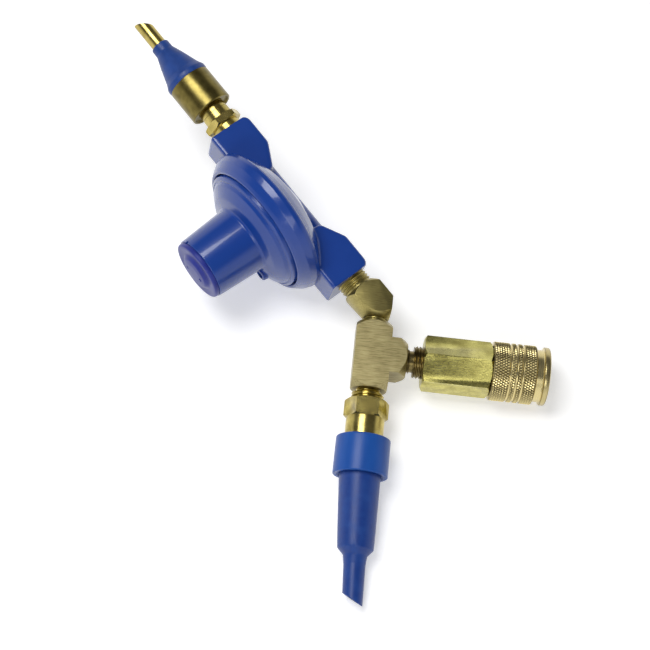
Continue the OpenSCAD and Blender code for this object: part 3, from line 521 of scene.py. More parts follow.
def sprung_steel(name, place):
    """Drawn and plated steel: grey, smooth, with faint drawing lines."""
    material, tree, point = start_material(name, place, Metallic=1.0)
    lines = grain(tree, point, 0.6, low=0.3, high=0.7)
    finish_surface(tree, lines, ("#8E9092", "#AEB0B2"), (lines, 0.25, 0.38), [(lines, 0.006)])
    return material


def black_seal(name, place):
    """Moulded nitrile rubber: near black and dull, with a fine grain."""
    material, tree, point = start_material(name, place, IOR=1.52)
    pits = grain(tree, point, 0.6, low=0.3, high=0.7)
    finish_surface(tree, pits, ("#151515", "#1F1F1F"), (pits, 0.5, 0.62), [(pits, 0.01)])
    return material


SLEEVE_R = 12.45
KNURL_DEPTH = 0.36
# how far below the diamond tops the painted shade of the knurl cuts begins
KNURL_LIT_DEPTH = 0.08
KNURL_CLEAR = 0.03
# how scratches are drawn out: a small share makes them long on that axis
ALONG_X = (0.07, 1, 1)
ALONG_Z = (1, 1, 0.3)

casting_enamel = gloss_enamel("gloss enamel on die-cast body", REGULATOR)
bonnet_enamel = gloss_enamel("gloss enamel on die-cast bonnet", REGULATOR)
cap_plastic = moulded_plastic(
    "satin moulded nylon cap", REGULATOR, "#262F86", "#2C3890", gloss=0.3, size=0.7,
)
collar_plastic = moulded_plastic(
    "satin moulded nylon collar", OUTLET, "#1B4E9F", "#2157AA", gloss=0.3, size=0.6,
)
boot_rubber = moulded_rubber("moulded rubber boot", FOIL, "#173B80", "#1E4590")
nozzle_rubber = moulded_rubber("moulded rubber nozzle", OUTLET, "#173B86", "#1E4692")
tee_brass = bar_brass(
    "linished brass bar tee", FITTINGS, "#746A45", "#B0A476", 0.36, ALONG_X, scratched=0.6,
)
elbow_brass = bar_brass("linished brass bar elbow", ELBOW, "#7E7348", "#B2A567", 0.34, ALONG_X)
coupler_brass = bar_brass(
    "bright drawn brass hex", BRANCH, "#9C9350", "#CFC776", 0.25, ALONG_Z, scratched=0.15,
)
# the dark tone is painted shade in the knurl cuts
sleeve_brass = knurled_brass("knurled brass sleeve", BRANCH, "#463919", "#D6C68E")
socket_brass = turned_brass("turned brass socket", BRANCH, "#9A8A50", "#C6B570")
nipple_brass = turned_brass(
    "cut brass threads, branch", BRANCH, "#5C5030", "#988858", rough=0.24, line=0.5,
)
outlet_brass = turned_brass("turned brass latex valve", OUTLET, "#96864A", "#CAB96C")
foil_brass = turned_brass("turned brass foil valve", FOIL, "#9C8B4A", "#C6B46A")
sleeve_polish = turned_brass(
    "polished brass foil sleeve", FOIL, "#685D31", "#887B44", rough=0.27, line=0.3,
)
regulator_brass = turned_brass(
    "turned brass inside the regulator", REGULATOR, "#BBA04E", "#DAC173",
)
plate_steel = sprung_steel("pressed steel plate", REGULATOR)
spring_steel = sprung_steel("drawn spring steel", FITTINGS)
seal_rubber = black_seal("moulded nitrile seal", FITTINGS)

# ---- tee ----

TEE_BAR = 15.2
TEE_REACH = 14.7
TEE_END_R = 7.3
TEE_BORE_R = 3.0
TEE_ROUND_R = TEE_BAR * 0.75
SMALL_R = 5.15
BIG_R = 6.85
SMALL_PITCH = 0.94
BIG_PITCH = 1.41
GAP = 0.05
THREAD_GRIP = 9.5
EDGE = 0.22
# how far a cutting tool reaches past what it cuts
PAST = 1


def turned_bar(big, end_r, low, high, rise):
    """A round bar whose two ends are turned to a cone."""
    cone = (big - end_r) * rise
    return lathe([
        (0, low), (end_r, low), (big, low + cone), (big, high - cone), (end_r, high), (0, high),
    ])


def tee_leg(low):
    """A square bar from a height to the tee's end, where its corners are turned off."""
    half = TEE_BAR / 2
    leg = box((-half, -half, low), (half, half, TEE_REACH))
    return keep(leg, turned_bar(TEE_ROUND_R, TEE_END_R, -TEE_REACH, TEE_REACH, 1))


def make_tee():
    bar = turn(tee_leg(-TEE_REACH), x=90)
    weld(bar, turn(tee_leg(0), y=90))
    for tilt_x, tilt_y, start in ((90, 0, -TEE_REACH), (0, 90, 0)):
        hole = turn(rod(TEE_BORE_R, start, TEE_REACH + PAST), x=tilt_x, y=tilt_y)
        cut(bar, hole)
    mouth = TEE_REACH - THREAD_GRIP
    for tilt_x, tilt_y in ((90, 0), (-90, 0), (0, 90)):
        hole = turn(rod(SMALL_R + GAP, mouth, TEE_REACH + PAST), x=tilt_x, y=tilt_y)
        cut(bar, hole)
    bevel(bar, EDGE)
    smooth(bar)
    set_down(bar, "tee_bar", FITTINGS, "fittings", ["branch_tee"], tee_brass)


make_tee()

# ---- elbow ----

ELBOW_BEND = 45
ELBOW_BIG_HALF = 7.4
ELBOW_SMALL_HALF = 5.7
ELBOW_DEEP_HALF = 7.2
ELBOW_BIG_LEG = 11.6
ELBOW_SMALL_LEG = 4.5
ELBOW_BIG_SHOW = 5.0
ELBOW_SMALL_SHOW = 2.2
ELBOW_BORE_R = 3.0
ELBOW_BORE_FROM = -1.2
# beyond every piece, in mm
FAR = 60


def elbow_leg(piece):
    """Turns a piece made along Z to lie along the elbow's leg to the regulator."""
    turn(piece, y=90)
    return turn(piece, z=90 + ELBOW_BEND)


def leg_cone(leg, top):
    """What an elbow's leg keeps: its end is turned to a cone."""
    return lathe([(0, leg), (top, leg), (top + FAR, leg - FAR), (0, leg - FAR)])


def make_elbow():
    bend = math.radians(ELBOW_BEND)
    mitre = (ELBOW_BIG_HALF - ELBOW_SMALL_HALF * math.cos(bend)) / math.sin(bend)
    along = Vector((-math.sin(bend), math.cos(bend)))
    across = Vector((math.cos(bend), math.sin(bend)))
    outline = [
        Vector((ELBOW_SMALL_HALF, mitre)),
        Vector((ELBOW_SMALL_HALF, -FAR)),
        Vector((-ELBOW_SMALL_HALF, -FAR)),
        Vector((-ELBOW_SMALL_HALF, -mitre)),
        along * FAR - across * ELBOW_BIG_HALF,
        along * FAR + across * ELBOW_BIG_HALF,
    ]
    bar = turn(prism([tuple(point) for point in outline], ELBOW_DEEP_HALF), x=-90)
    keep(bar, elbow_leg(leg_cone(ELBOW_BIG_LEG, ELBOW_BIG_HALF - 0.3)))
    keep(bar, turn(leg_cone(ELBOW_SMALL_LEG, ELBOW_SMALL_HALF - 0.2), x=90))
    bevel(bar, EDGE)
    big_tip = ELBOW_BIG_LEG + ELBOW_BIG_SHOW + THREAD_GRIP
    small_tip = ELBOW_SMALL_LEG + ELBOW_SMALL_SHOW + THREAD_GRIP
    weld(bar, elbow_leg(rod(BIG_R - 0.7, 0, ELBOW_BIG_LEG + 1.3)))
    weld(bar, turn(rod(SMALL_R - 0.5, 0, ELBOW_SMALL_LEG + 0.8), x=90))
    weld(bar, elbow_leg(threaded(BIG_R, BIG_PITCH, ELBOW_BIG_LEG + 1, big_tip)))
    small_thread = threaded(SMALL_R, SMALL_PITCH, ELBOW_SMALL_LEG + 0.6, small_tip)
    weld(bar, turn(small_thread, x=90))
    cut(bar, elbow_leg(rod(ELBOW_BORE_R, ELBOW_BORE_FROM, big_tip + PAST)))
    cut(bar, turn(rod(ELBOW_BORE_R, ELBOW_BORE_FROM, small_tip + PAST), x=90))
    smooth(bar)
    set_down(bar, "elbow_bar", ELBOW, "fittings", ["elbow_45"], elbow_brass)


make_elbow()

# ---- nipples ----

COUPLER_AT = 21.5
LATEX_THREAD_AT = 16.4
LATEX_HEX_AT = 19.1


def make_nipples():
    nipple = threaded(SMALL_R, SMALL_PITCH, TEE_REACH - THREAD_GRIP, TEE_REACH + 1.2)
    weld(nipple, rod(SMALL_R - 0.6, TEE_REACH + 0.8, TEE_REACH + 3.2))
    weld(nipple, threaded(BIG_R, BIG_PITCH, TEE_REACH + 2.8, COUPLER_AT + THREAD_GRIP))
    bore(nipple, (TEE_BORE_R, 0, COUPLER_AT + THREAD_GRIP + PAST))
    smooth(nipple)
    set_down(
        nipple, "inlet_nipple", BRANCH, "fittings", ["coupler_nipple"],
        nipple_brass,
    )
    nipple = threaded(SMALL_R, SMALL_PITCH, TEE_REACH - THREAD_GRIP, LATEX_THREAD_AT + 0.3)
    big_thread = threaded(BIG_R, BIG_PITCH, LATEX_THREAD_AT, LATEX_HEX_AT + THREAD_GRIP)
    weld(nipple, big_thread)
    bore(nipple, (TEE_BORE_R, 0, LATEX_HEX_AT + THREAD_GRIP + PAST))
    smooth(nipple)
    set_down(
        nipple, "outlet_nipple", OUTLET, "fittings", ["latex_nipple"], outlet_brass,
    )


make_nipples()

# ---- regulator body ----

BLOCK_LEN = 17.4
BLOCK_HALF = 9.2
BLOCK_DROP = 7.7
BLOCK_RISE = 11.8
BLOCK_SLOPE = 11
FLANGE_Z = 12.8
RIM_R = 33.6
CLAMP_R = 30.5
CHAMBER_R = 23
SHELF_R = 26.5
FLOOR_R = 10.5
FLOOR_Z = 0.8
BOWL_WALL = 2.6
FLOOR_EDGE = 6.8
WEB_R = 4.9
PORT_DEEP = 12
PASSAGE_R = 2.6
# what the port blocks are cast too long by, before their faces are milled
SPARE = 0.6
DIAPHRAGM_LOW = 12.5
DIAPHRAGM_TOP = 13.1
CAST_VOXEL = 0.45
MILL_REACH = 5
MILL_HALF = 20


def block_shape(side):
    """A port block with its slope to the web, rounded as a casting is."""
    inner = PORT_HALF - BLOCK_LEN + 2.2
    face = PORT_HALF + SPARE
    outline = rounded([
        (inner - 2.2, BLOCK_RISE), (face, BLOCK_RISE, 1.2), (face, -BLOCK_DROP, 3.2),
        (inner, -BLOCK_DROP, 3), (inner - BLOCK_SLOPE, FLOOR_Z - BOWL_WALL, 3),
        (inner - BLOCK_SLOPE, FLANGE_Z - 4),
    ], closed=True)
    block = prism([(side * x, z) for x, z in outline], BLOCK_HALF)
    return bevel(block, 1.8, segments=4, angle=60)


def make_body():
    casting = lathe(rounded([
        (0, FLOOR_Z - BOWL_WALL), (FLOOR_R - 2, FLOOR_Z - BOWL_WALL, 6),
        (CHAMBER_R + 1, FLOOR_EDGE - BOWL_WALL, 6), (SHELF_R + 2.5, FLANGE_Z - 5, 3),
        (RIM_R - 1.5, FLANGE_Z - 2.4, 0.5), (RIM_R - 1.5, FLANGE_Z + 2), (0, FLANGE_Z + 2),
    ]), SOFT_STEPS)
    web = turn(rod(WEB_R, -PORT_HALF + 2, PORT_HALF - 2, HOLE_STEPS), y=90)
    blocks = [block_shape(side) for side in (1, -1)]
    pick(casting, web, *blocks)
    bpy.ops.object.join()
    modify(casting, "REMESH", mode="VOXEL", voxel_size=CAST_VOXEL)
    modify(casting, "SMOOTH", factor=0.5, iterations=14)
    # the milled faces, the pads and the rolled rim are crisp where the casting is soft
    for side in (1, -1):
        low, high = sorted((side * PORT_HALF, side * (PORT_HALF + MILL_REACH)))
        mill = box((low, -MILL_HALF, -MILL_HALF), (high, MILL_HALF, MILL_HALF))
        cut(casting, mill)
        middle = side * (PORT_HALF - BLOCK_LEN * 0.42)
        pad = box(
            (middle - BLOCK_LEN * 0.3, -BLOCK_HALF * 0.62, -BLOCK_DROP - 0.5),
            (middle + BLOCK_LEN * 0.3, BLOCK_HALF * 0.62, -BLOCK_DROP + 1.2),
        )
        weld(casting, bevel(pad, 0.35, segments=3))
    rim = hollow([
        (20, FLANGE_Z - 3), (RIM_R - 2.6, FLANGE_Z - 3), (RIM_R - 0.9, FLANGE_Z - 2.2, 0.5),
        (RIM_R - 0.32, FLANGE_Z - 1.4, 0.2), (RIM_R - 0.16, FLANGE_Z - 1.4, 0.05),
        (RIM_R, FLANGE_Z + 0.3, 1.6), (RIM_R - 1, FLANGE_Z + 3, 2.2),
        (RIM_R - 2.9, FLANGE_Z + 5.6, 2.2), (RIM_R - 4.1, FLANGE_Z + 6.9, 0.8),
        (RIM_R - 5.2, FLANGE_Z + 6.9, 0.4), (RIM_R - 5.6, FLANGE_Z + 5.7),
        (CLAMP_R + GAP, DIAPHRAGM_TOP + 2.2), (20, DIAPHRAGM_TOP + 2.2),
    ])
    weld(casting, rim)
    chamber = lathe([
        (0, FLOOR_Z), (FLOOR_R, FLOOR_Z), (CHAMBER_R, FLOOR_EDGE), (CHAMBER_R, DIAPHRAGM_LOW - 1.4),
        (SHELF_R, DIAPHRAGM_LOW - 1.4), (SHELF_R, DIAPHRAGM_LOW), (CLAMP_R + GAP, DIAPHRAGM_LOW),
        (CLAMP_R + GAP, DIAPHRAGM_TOP + 2.2), (CLAMP_R - 2.5, FLANGE_Z + 5.7),
        (CLAMP_R - 3, FLANGE_Z + 9), (0, FLANGE_Z + 9),
    ])
    cut(casting, chamber)
    for side in (1, -1):
        bottom = PORT_HALF - PORT_DEEP
        port = turn(rod(BIG_R + GAP, bottom, PORT_HALF + PAST), y=90 * side)
        cut(casting, port)
        passage = turn(rod(PASSAGE_R, CHAMBER_R - 6, bottom + PAST, HOLE_STEPS), y=90 * side)
        cut(casting, passage)
    smooth(casting, angle=40)
    set_down(
        casting, "regulator_casting", REGULATOR, "fittings", ["regulator_body"],
        casting_enamel,
    )


make_body()

# ---- bonnet, tower and closing cap ----

TOWER_FOOT_R = 15.1
TOWER_TOP_R = 13.8
TOWER_BORE_R = 11.6
TOWER_TOP = 49.1
VENT_TURN = math.radians(142)
VENT_OUT = 18.6
VENT_R = 1.7
VENT_DEEP_R = 0.8
NOTCH_TURN = 319


def make_bonnet():
    bonnet = hollow([
        (CHAMBER_R + 1.5, DIAPHRAGM_TOP), (CLAMP_R, DIAPHRAGM_TOP), (CLAMP_R, DIAPHRAGM_TOP + 1.9),
        (RIM_R - 6, FLANGE_Z + 5.4), (RIM_R - 6.1, FLANGE_Z + 8, 0.7),
        (RIM_R - 7.3, FLANGE_Z + 8.7, 0.4), (RIM_R - 7.9, FLANGE_Z + 8.5, 0.3),
        (RIM_R - 8.9, FLANGE_Z + 9.9, 1.0),
        (RIM_R - 13.4, FLANGE_Z + 12.6, 5), (TOWER_FOOT_R + 0.6, FLANGE_Z + 13.6, 1),
        (TOWER_FOOT_R, FLANGE_Z + 14.6, 1), (TOWER_TOP_R, TOWER_TOP, 0.35),
        (TOWER_BORE_R + 0.7, TOWER_TOP), (TOWER_BORE_R + 0.7, TOWER_TOP - 0.9),
        (TOWER_BORE_R, TOWER_TOP - 0.9), (TOWER_BORE_R, FLANGE_Z + 12.4),
        (CHAMBER_R - 5, FLANGE_Z + 9.8), (CHAMBER_R - 1, FLANGE_Z + 6.5),
        (CHAMBER_R + 1.5, FLANGE_Z + 4),
    ], BROAD_STEPS, arc=7)
    vent_at = (VENT_OUT * math.cos(VENT_TURN), VENT_OUT * math.sin(VENT_TURN), 0)
    hood = lathe(rounded([
        (0, FLANGE_Z + 11.2), (3.4, FLANGE_Z + 11.2), (2.9, FLANGE_Z + 14.1, 0.5),
        (0, FLANGE_Z + 14.1),
    ]), HOLE_STEPS)
    weld(bonnet, turn(hood, shift=vent_at))
    for radius, low, high in ((VENT_DEEP_R, 7, 12), (VENT_R, 11.6, 16)):
        hole = rod(radius, FLANGE_Z + low, FLANGE_Z + high, VENT_STEPS)
        cut(bonnet, turn(hole, shift=vent_at))
    # a small notch in the tower's mouth
    notch = box((TOWER_TOP_R - 1.1, -0.7, TOWER_TOP - 0.9), (TOWER_TOP_R + 1, 0.7, TOWER_TOP + 1))
    cut(bonnet, turn(notch, z=NOTCH_TURN))
    smooth(bonnet, angle=40)
    set_down(
        bonnet, "bonnet_and_tower", REGULATOR, "fittings", ["regulator_bonnet"],
        bonnet_enamel,
    )


make_bonnet()

CAP_RIM = 2
CAP_HUB = 1.5
CAP_HUB_R = 7.4
CAP_SKIRT = 2.8
DIMPLE_X = 4.2
DIMPLE_Y = 1.5


def make_cap():
    face = TOWER_TOP + CAP_RIM
    skirt_r = TOWER_BORE_R - 0.3
    skirt_end = TOWER_TOP - CAP_SKIRT
    cap = lathe(rounded([
        (0, TOWER_TOP + 0.6), (skirt_r - 1.8, TOWER_TOP + 0.6), (skirt_r - 1.8, skirt_end),
        (skirt_r, skirt_end, 0.2), (skirt_r, TOWER_TOP), (TOWER_TOP_R - 0.5, TOWER_TOP, 0.25),
        (TOWER_TOP_R - 0.5, face - 0.1, 0.9), (TOWER_TOP_R - 2.2, face, 0.5),
        (CAP_HUB_R + 1.2, face - 0.35, 1.2), (CAP_HUB_R - 0.2, face + CAP_HUB * 0.75, 1.6),
        (CAP_HUB_R - 3, face + CAP_HUB * 0.97, 3),
        (0, face + CAP_HUB),
    ], steps=7))
    for side in (-1, 1):
        dimple = lathe(rounded([(0, -1.3), (0.55, -1.3, 0.4), (0.9, 0), (0, 0)]), PIN_STEPS)
        turn(dimple, shift=(side * DIMPLE_X, side * DIMPLE_Y, face + CAP_HUB + 0.15))
        cut(cap, dimple)
    smooth(cap, angle=40)
    set_down(cap, "tower_cap", REGULATOR, "cap", ["closing_cap"], cap_plastic)


make_cap()

# ---- foil balloon valve: z out of the port ----

FOIL_NECK = 3.6
FOIL_HEX_T = 3.3
FOIL_HEX_AF = 15.2
FOIL_NECK_R = 6.3
SHELL_AT = 13.2
SHELL_LEN = 16.1
SHELL_R = 9.75
SHELL_WALL = 0.5
SHELL_END = SHELL_AT + SHELL_LEN
FOIL_BODY_END = SHELL_AT + 11.3
FOIL_BODY_R = SHELL_R - SHELL_WALL - GAP
FOIL_CHAMBER_R = FOIL_BODY_R - 2.3
FOIL_FLOOR = SHELL_AT + 1.2
FOIL_SEAT_AT = FOIL_FLOOR + 6.1
BOOT_LEN = 21.2
BOOT_CUFF = 4
BOOT_CUFF_R = 4.25
BOOT_END = SHELL_END + BOOT_LEN
FOIL_TUBE_R = 3.4
FOIL_TUBE_INNER_R = 3.0
FOIL_TUBE_BORE_R = 2.4
CROSS_HOLE_R = 0.7
FOIL_TIP = SHELL_END + 34.8
FOIL_SLANT = 35
SLEEVE_RECESS = 0.9
HEX_CONE_RISE = 0.58


def hex_bar(across_flats, end_r, low, high):
    """A hex bar whose two ends are turned to a shallow cone."""
    corner = across_flats / math.sqrt(3)
    bar = lathe([(0, low), (corner, low), (corner, high), (0, high)], 6)
    return keep(bar, turned_bar(corner + 0.2, end_r, low, high, HEX_CONE_RISE))


def slant_tool(radius, tip, slant, side):
    """What is cut away from a tube's end, low on the side given by its turn."""
    tool = box((-2 * radius, -2 * radius, 0), (6 * radius, 2 * radius, 8 * radius))
    turn(tool, y=slant, shift=(-radius, 0, tip))
    return turn(tool, z=side)


def make_foil_valve():
    recess = SHELL_AT + SLEEVE_RECESS
    body = threaded(BIG_R, BIG_PITCH, -THREAD_GRIP, 0.6)
    hex_end = FOIL_NECK + FOIL_HEX_T
    neck = lathe(rounded([
        (0, -0.2), (FOIL_NECK_R, -0.2), (FOIL_NECK_R, hex_end + 3.6, 0.1),
        (FOIL_NECK_R - 0.15, hex_end + 3.8, 0.1), (FOIL_NECK_R - 0.15, SHELL_AT + 1.6),
        (0, SHELL_AT + 1.6),
    ]))
    weld(body, neck)
    nut = hex_bar(FOIL_HEX_AF, FOIL_HEX_AF / 2 + 0.25, FOIL_NECK, hex_end)
    weld(body, bevel(nut, 0.12))
    weld(body, rod(FOIL_BODY_R, recess + 0.3, FOIL_BODY_END))
    bore(
        body, (PASSAGE_R, -THREAD_GRIP - PAST, FOIL_FLOOR + PAST),
        (FOIL_CHAMBER_R, FOIL_FLOOR + 0.3, FOIL_BODY_END + PAST),
    )
    smooth(body, angle=24)
    set_down(
        body, "foil_valve_hex", FOIL, "fittings", ["foil_valve_body"], foil_brass,
    )
    r = SHELL_R
    inside = r - SHELL_WALL
    sleeve = hollow([
        (FOIL_NECK_R + GAP, recess), (inside - 0.7, recess, 0.2),
        (inside - 0.5, SHELL_AT, 0.25), (r, SHELL_AT, 0.7), (r, SHELL_END, 0.15),
        (inside, SHELL_END), (inside, recess + 0.25), (FOIL_NECK_R + GAP, recess + 0.25),
    ])
    smooth(sleeve, angle=40)
    set_down(
        sleeve, "foil_valve_shell", FOIL, "fittings", ["foil_valve_sleeve"],
        sleeve_polish,
    )
    tube = rod(FOIL_TUBE_INNER_R, FOIL_FLOOR + 4.6, BOOT_END - 0.5, TUBE_STEPS)
    weld(tube, rod(FOIL_TUBE_R, BOOT_END - 0.8, FOIL_TIP, SOFT_STEPS))
    weld(tube, rod(FOIL_CHAMBER_R - 1, FOIL_FLOOR + 4.6, FOIL_SEAT_AT, SOFT_STEPS))
    cut(tube, rod(FOIL_TUBE_BORE_R, FOIL_SEAT_AT, FOIL_TIP + PAST, TUBE_STEPS))
    for side in (0, 90):
        hole = rod(CROSS_HOLE_R, -FOIL_TUBE_R - PAST, FOIL_TUBE_R + PAST, PIN_STEPS)
        turn(hole, x=90, z=side, shift=(0, 0, FOIL_SEAT_AT + 0.9))
        cut(tube, hole)
    cut(tube, slant_tool(FOIL_TUBE_R, FOIL_TIP, FOIL_SLANT, 0))
    bevel(tube, 0.12)
    smooth(tube)
    set_down(
        tube, "foil_tube", FOIL, "foil_stem", ["foil_nozzle_tube"], foil_brass,
    )


make_foil_valve()


def make_boot():
    r = SHELL_R
    z = SHELL_END
    hole = FOIL_TUBE_INNER_R + GAP
    cuff = BOOT_END - BOOT_CUFF
    outline = rounded([
        (hole + 2.2, FOIL_BODY_END), (FOIL_BODY_R, FOIL_BODY_END), (FOIL_BODY_R, z + 0.02),
        (r - 0.05, z + 0.02, 0.15), (r + 0.1, z + 1, 0.6), (r + 0.1, z + 2.2, 1),
        (r - 1.1, z + 4.6, 4), (r - 3.6, z + BOOT_LEN * 0.58, 14),
        (BOOT_CUFF_R + 0.75, cuff - 1.8, 5), (BOOT_CUFF_R, cuff + 0.2, 1.5),
        (BOOT_CUFF_R - 0.1, BOOT_END, 0.5), (hole, BOOT_END),
        (hole, cuff - 4), (hole + 1.2, z + BOOT_LEN * 0.3), (hole + 2.2, z),
    ], closed=True, steps=8)
    boot = soft(outline, longest=1.0)
    smooth(boot, angle=50)
    boot.name = boot.data.name = "foil_boot"
    finish_piece(boot, FOIL, ["foil_valve_boot"], boot_rubber)
    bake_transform(boot)


make_boot()

# ---- quick coupler ----

COUPLER_HEX_AF = 20.8
COUPLER_TURN = 55.5
COUPLER_END = 50.0
CAVITY_AT = 38.5
CAVITY_R = 7.5
SOCKET_ROOT = 44.8
SOCKET_R = 8.6
SOCKET_ROOT_R = 8.9
SOCKET_BACK_R = 6.6
SOCKET_END = 73.7
VALVE_SEAT = 53.7
SEAL_AT = 56.2
SEAL_T = 2.4
SEAL_GROOVE_R = 6.65
PLUG_R = 6.05
PLUG_TIP_R = 4.05
BALL_R = 1.6
BALL_Z = 62.7
RING_AT = 71.8
RING_T = 1


def make_coupler_hex():
    nut = hex_bar(COUPLER_HEX_AF, COUPLER_HEX_AF / 2 + 0.1, COUPLER_AT, COUPLER_END)
    bevel(nut, 0.3, segments=3)
    bore(
        nut, (BIG_R + GAP, COUPLER_AT - PAST, COUPLER_AT + 12),
        (TEE_BORE_R + 0.2, COUPLER_AT, CAVITY_AT + PAST), (CAVITY_R, CAVITY_AT, COUPLER_END + PAST),
        (SOCKET_ROOT_R + GAP, SOCKET_ROOT, COUPLER_END + PAST),
    )
    turn(nut, z=COUPLER_TURN)
    smooth(nut)
    set_down(
        nut, "coupler_hex", BRANCH, "fittings", ["coupler_body"], coupler_brass,
    )


def make_socket():
    ring_end = RING_AT + RING_T
    socket = hollow([
        (SOCKET_ROOT_R, SOCKET_ROOT), (SOCKET_ROOT_R, COUPLER_END), (SOCKET_R, COUPLER_END),
        (SOCKET_R, RING_AT - GAP), (SOCKET_R - 0.7, RING_AT - GAP),
        (SOCKET_R - 0.7, ring_end + GAP), (SOCKET_R, ring_end + GAP),
        (SOCKET_R, SOCKET_END, 0.2), (PLUG_R + 1.2, SOCKET_END, 0.2),
        (PLUG_R, SOCKET_END - 1.2, 0.4), (PLUG_R, SEAL_AT + SEAL_T),
        (SEAL_GROOVE_R, SEAL_AT + SEAL_T), (SEAL_GROOVE_R, SEAL_AT), (PLUG_TIP_R, SEAL_AT, 0.3),
        (PLUG_TIP_R, VALVE_SEAT), (SOCKET_BACK_R, VALVE_SEAT), (SOCKET_BACK_R, SOCKET_ROOT),
    ])
    for side in range(4):
        hole = turn(rod(BALL_R + 0.08, PLUG_R - 2, SOCKET_R + 2, HOLE_STEPS), y=90)
        cut(socket, turn(hole, z=side * 90 + 45, shift=(0, 0, BALL_Z)))
    smooth(socket)
    set_down(
        socket, "coupler_socket_tube", BRANCH, "fittings", ["coupler_socket"],
        socket_brass,
    )
    ring = hollow([
        (SOCKET_R - 0.65, RING_AT), (SOCKET_R + 0.9, RING_AT, 0.35),
        (SOCKET_R + 0.9, ring_end, 0.35), (SOCKET_R - 0.65, ring_end),
    ])
    smooth(ring)
    set_down(
        ring, "sleeve_stop_ring", BRANCH, "fittings", ["sleeve_ring"], spring_steel,
    )


make_coupler_hex()
make_socket()

SLEEVE_AT = 50.3
BAND_END = 68.4
NECK_END = 71.6
SLEEVE_END = 74.1
NECK_R = 11.0
LIP_R = 12.3
BORE_R = 8.68
SPRING_POCKET_R = 10.5
SPRING_POCKET_END = 55.9
CAM_BACK = 58.79
CAM_FRONT = 64.4
CAM_R = 9.8
FRONT_BORE_AT = 68.7
FRONT_BORE_R = 9.65
GROOVE_FIRST = 57.09
GROOVE_PITCH = 2.629
GROOVE_W = 1.0
GROOVE_D = 0.6
KNURLS = 66
KNURL_PITCH = 2.05
KNURL_ROW = 0.2
KNURL_FLAT = 0.28
KNURL_STEPS = 6
BAND_EDGE = 0.4
GROOVES = 3


def groove_edge(z):
    """The outline of one smooth groove between two knurled lands."""
    low, high = z, z + GROOVE_W
    return [
        (SLEEVE_R, low - 0.12), (SLEEVE_R - 0.12, low), (SLEEVE_R - GROOVE_D, low + 0.12, 0.2),
        (SLEEVE_R - GROOVE_D, high - 0.12, 0.2), (SLEEVE_R - 0.12, high), (SLEEVE_R, high + 0.12),
    ]


def knurled(across, along):
    """How deep the two crossing sets of cuts go at a place: 0 on a diamond's top, 1 in a cut."""
    cuts = [2 * abs((across + way * along) % 1 - 0.5) for way in (1, -1)]
    return max(0.0, (max(cuts) - KNURL_FLAT) / (1 - KNURL_FLAT))


def make_sleeve():
    band = [(SLEEVE_R - BAND_EDGE, SLEEVE_AT), (SLEEVE_R, SLEEVE_AT + BAND_EDGE)]
    for i in range(GROOVES):
        band += groove_edge(GROOVE_FIRST + i * GROOVE_PITCH)
    band += [(SLEEVE_R, BAND_END - BAND_EDGE), (SLEEVE_R - BAND_EDGE, BAND_END)]
    front = [
        (NECK_R + 0.3, BAND_END), (NECK_R, BAND_END + 0.3), (NECK_R, NECK_END - 0.5),
        (NECK_R + 0.35, NECK_END, 0.4),
        (LIP_R, NECK_END, 0.45), (LIP_R, SLEEVE_END, 0.8), (FRONT_BORE_R + 0.5, SLEEVE_END, 0.3),
        (FRONT_BORE_R, SLEEVE_END - 0.6), (FRONT_BORE_R, FRONT_BORE_AT), (BORE_R, FRONT_BORE_AT),
        (BORE_R, CAM_FRONT), (CAM_R, CAM_FRONT), (BORE_R, CAM_BACK), (BORE_R, SPRING_POCKET_END),
        (SPRING_POCKET_R, SPRING_POCKET_END), (SPRING_POCKET_R, SLEEVE_AT),
    ]
    outline = stepped(rounded(band), KNURL_ROW) + rounded(front)
    sleeve = lathe(outline, KNURLS * KNURL_STEPS, closed=True)
    for vertex in sleeve.data.vertices:
        x, y, z = vertex.co
        radius = math.hypot(x, y)
        if radius > SLEEVE_R - 0.05 and SLEEVE_AT + 0.3 < z < BAND_END - 0.3:
            depth = KNURL_DEPTH * knurled(math.atan2(y, x) * KNURLS / TURN, z / KNURL_PITCH)
            vertex.co.x *= 1 - depth / radius
            vertex.co.y *= 1 - depth / radius
    smooth(sleeve, angle=25)
    set_down(
        sleeve, "knurled_sleeve", BRANCH, "sleeve", ["coupler_sleeve"],
        sleeve_brass,
    )


make_sleeve()

# ---- latex balloon valve: z down the nozzle ----

LATEX_HEX_END = 27.1
LATEX_HEX_AF = 16.2
LATEX_BODY_R = 8.1
LATEX_BODY_END = 44.3
LATEX_FLOOR = 31.1
LATEX_CHAMBER_R = 6.3
COLLAR_AT = 35.3
COLLAR_END = 51.3
COLLAR_R = 11.35
NOZZLE_TOP_R = 8.6
NOZZLE_FOOT_R = 7.55
NOZZLE_CONE_AT = 81.5
NOZZLE_CONE_END = 84.4
NOZZLE_TIP_R = 4.65
NOZZLE_TIP = 104.5
NOZZLE_SLANT = 30
NOZZLE_SLANT_TURN = 195
NOZZLE_LEAN = math.tan(math.radians(2.1))
LEAN_START = 2
STEM_R = 3.0


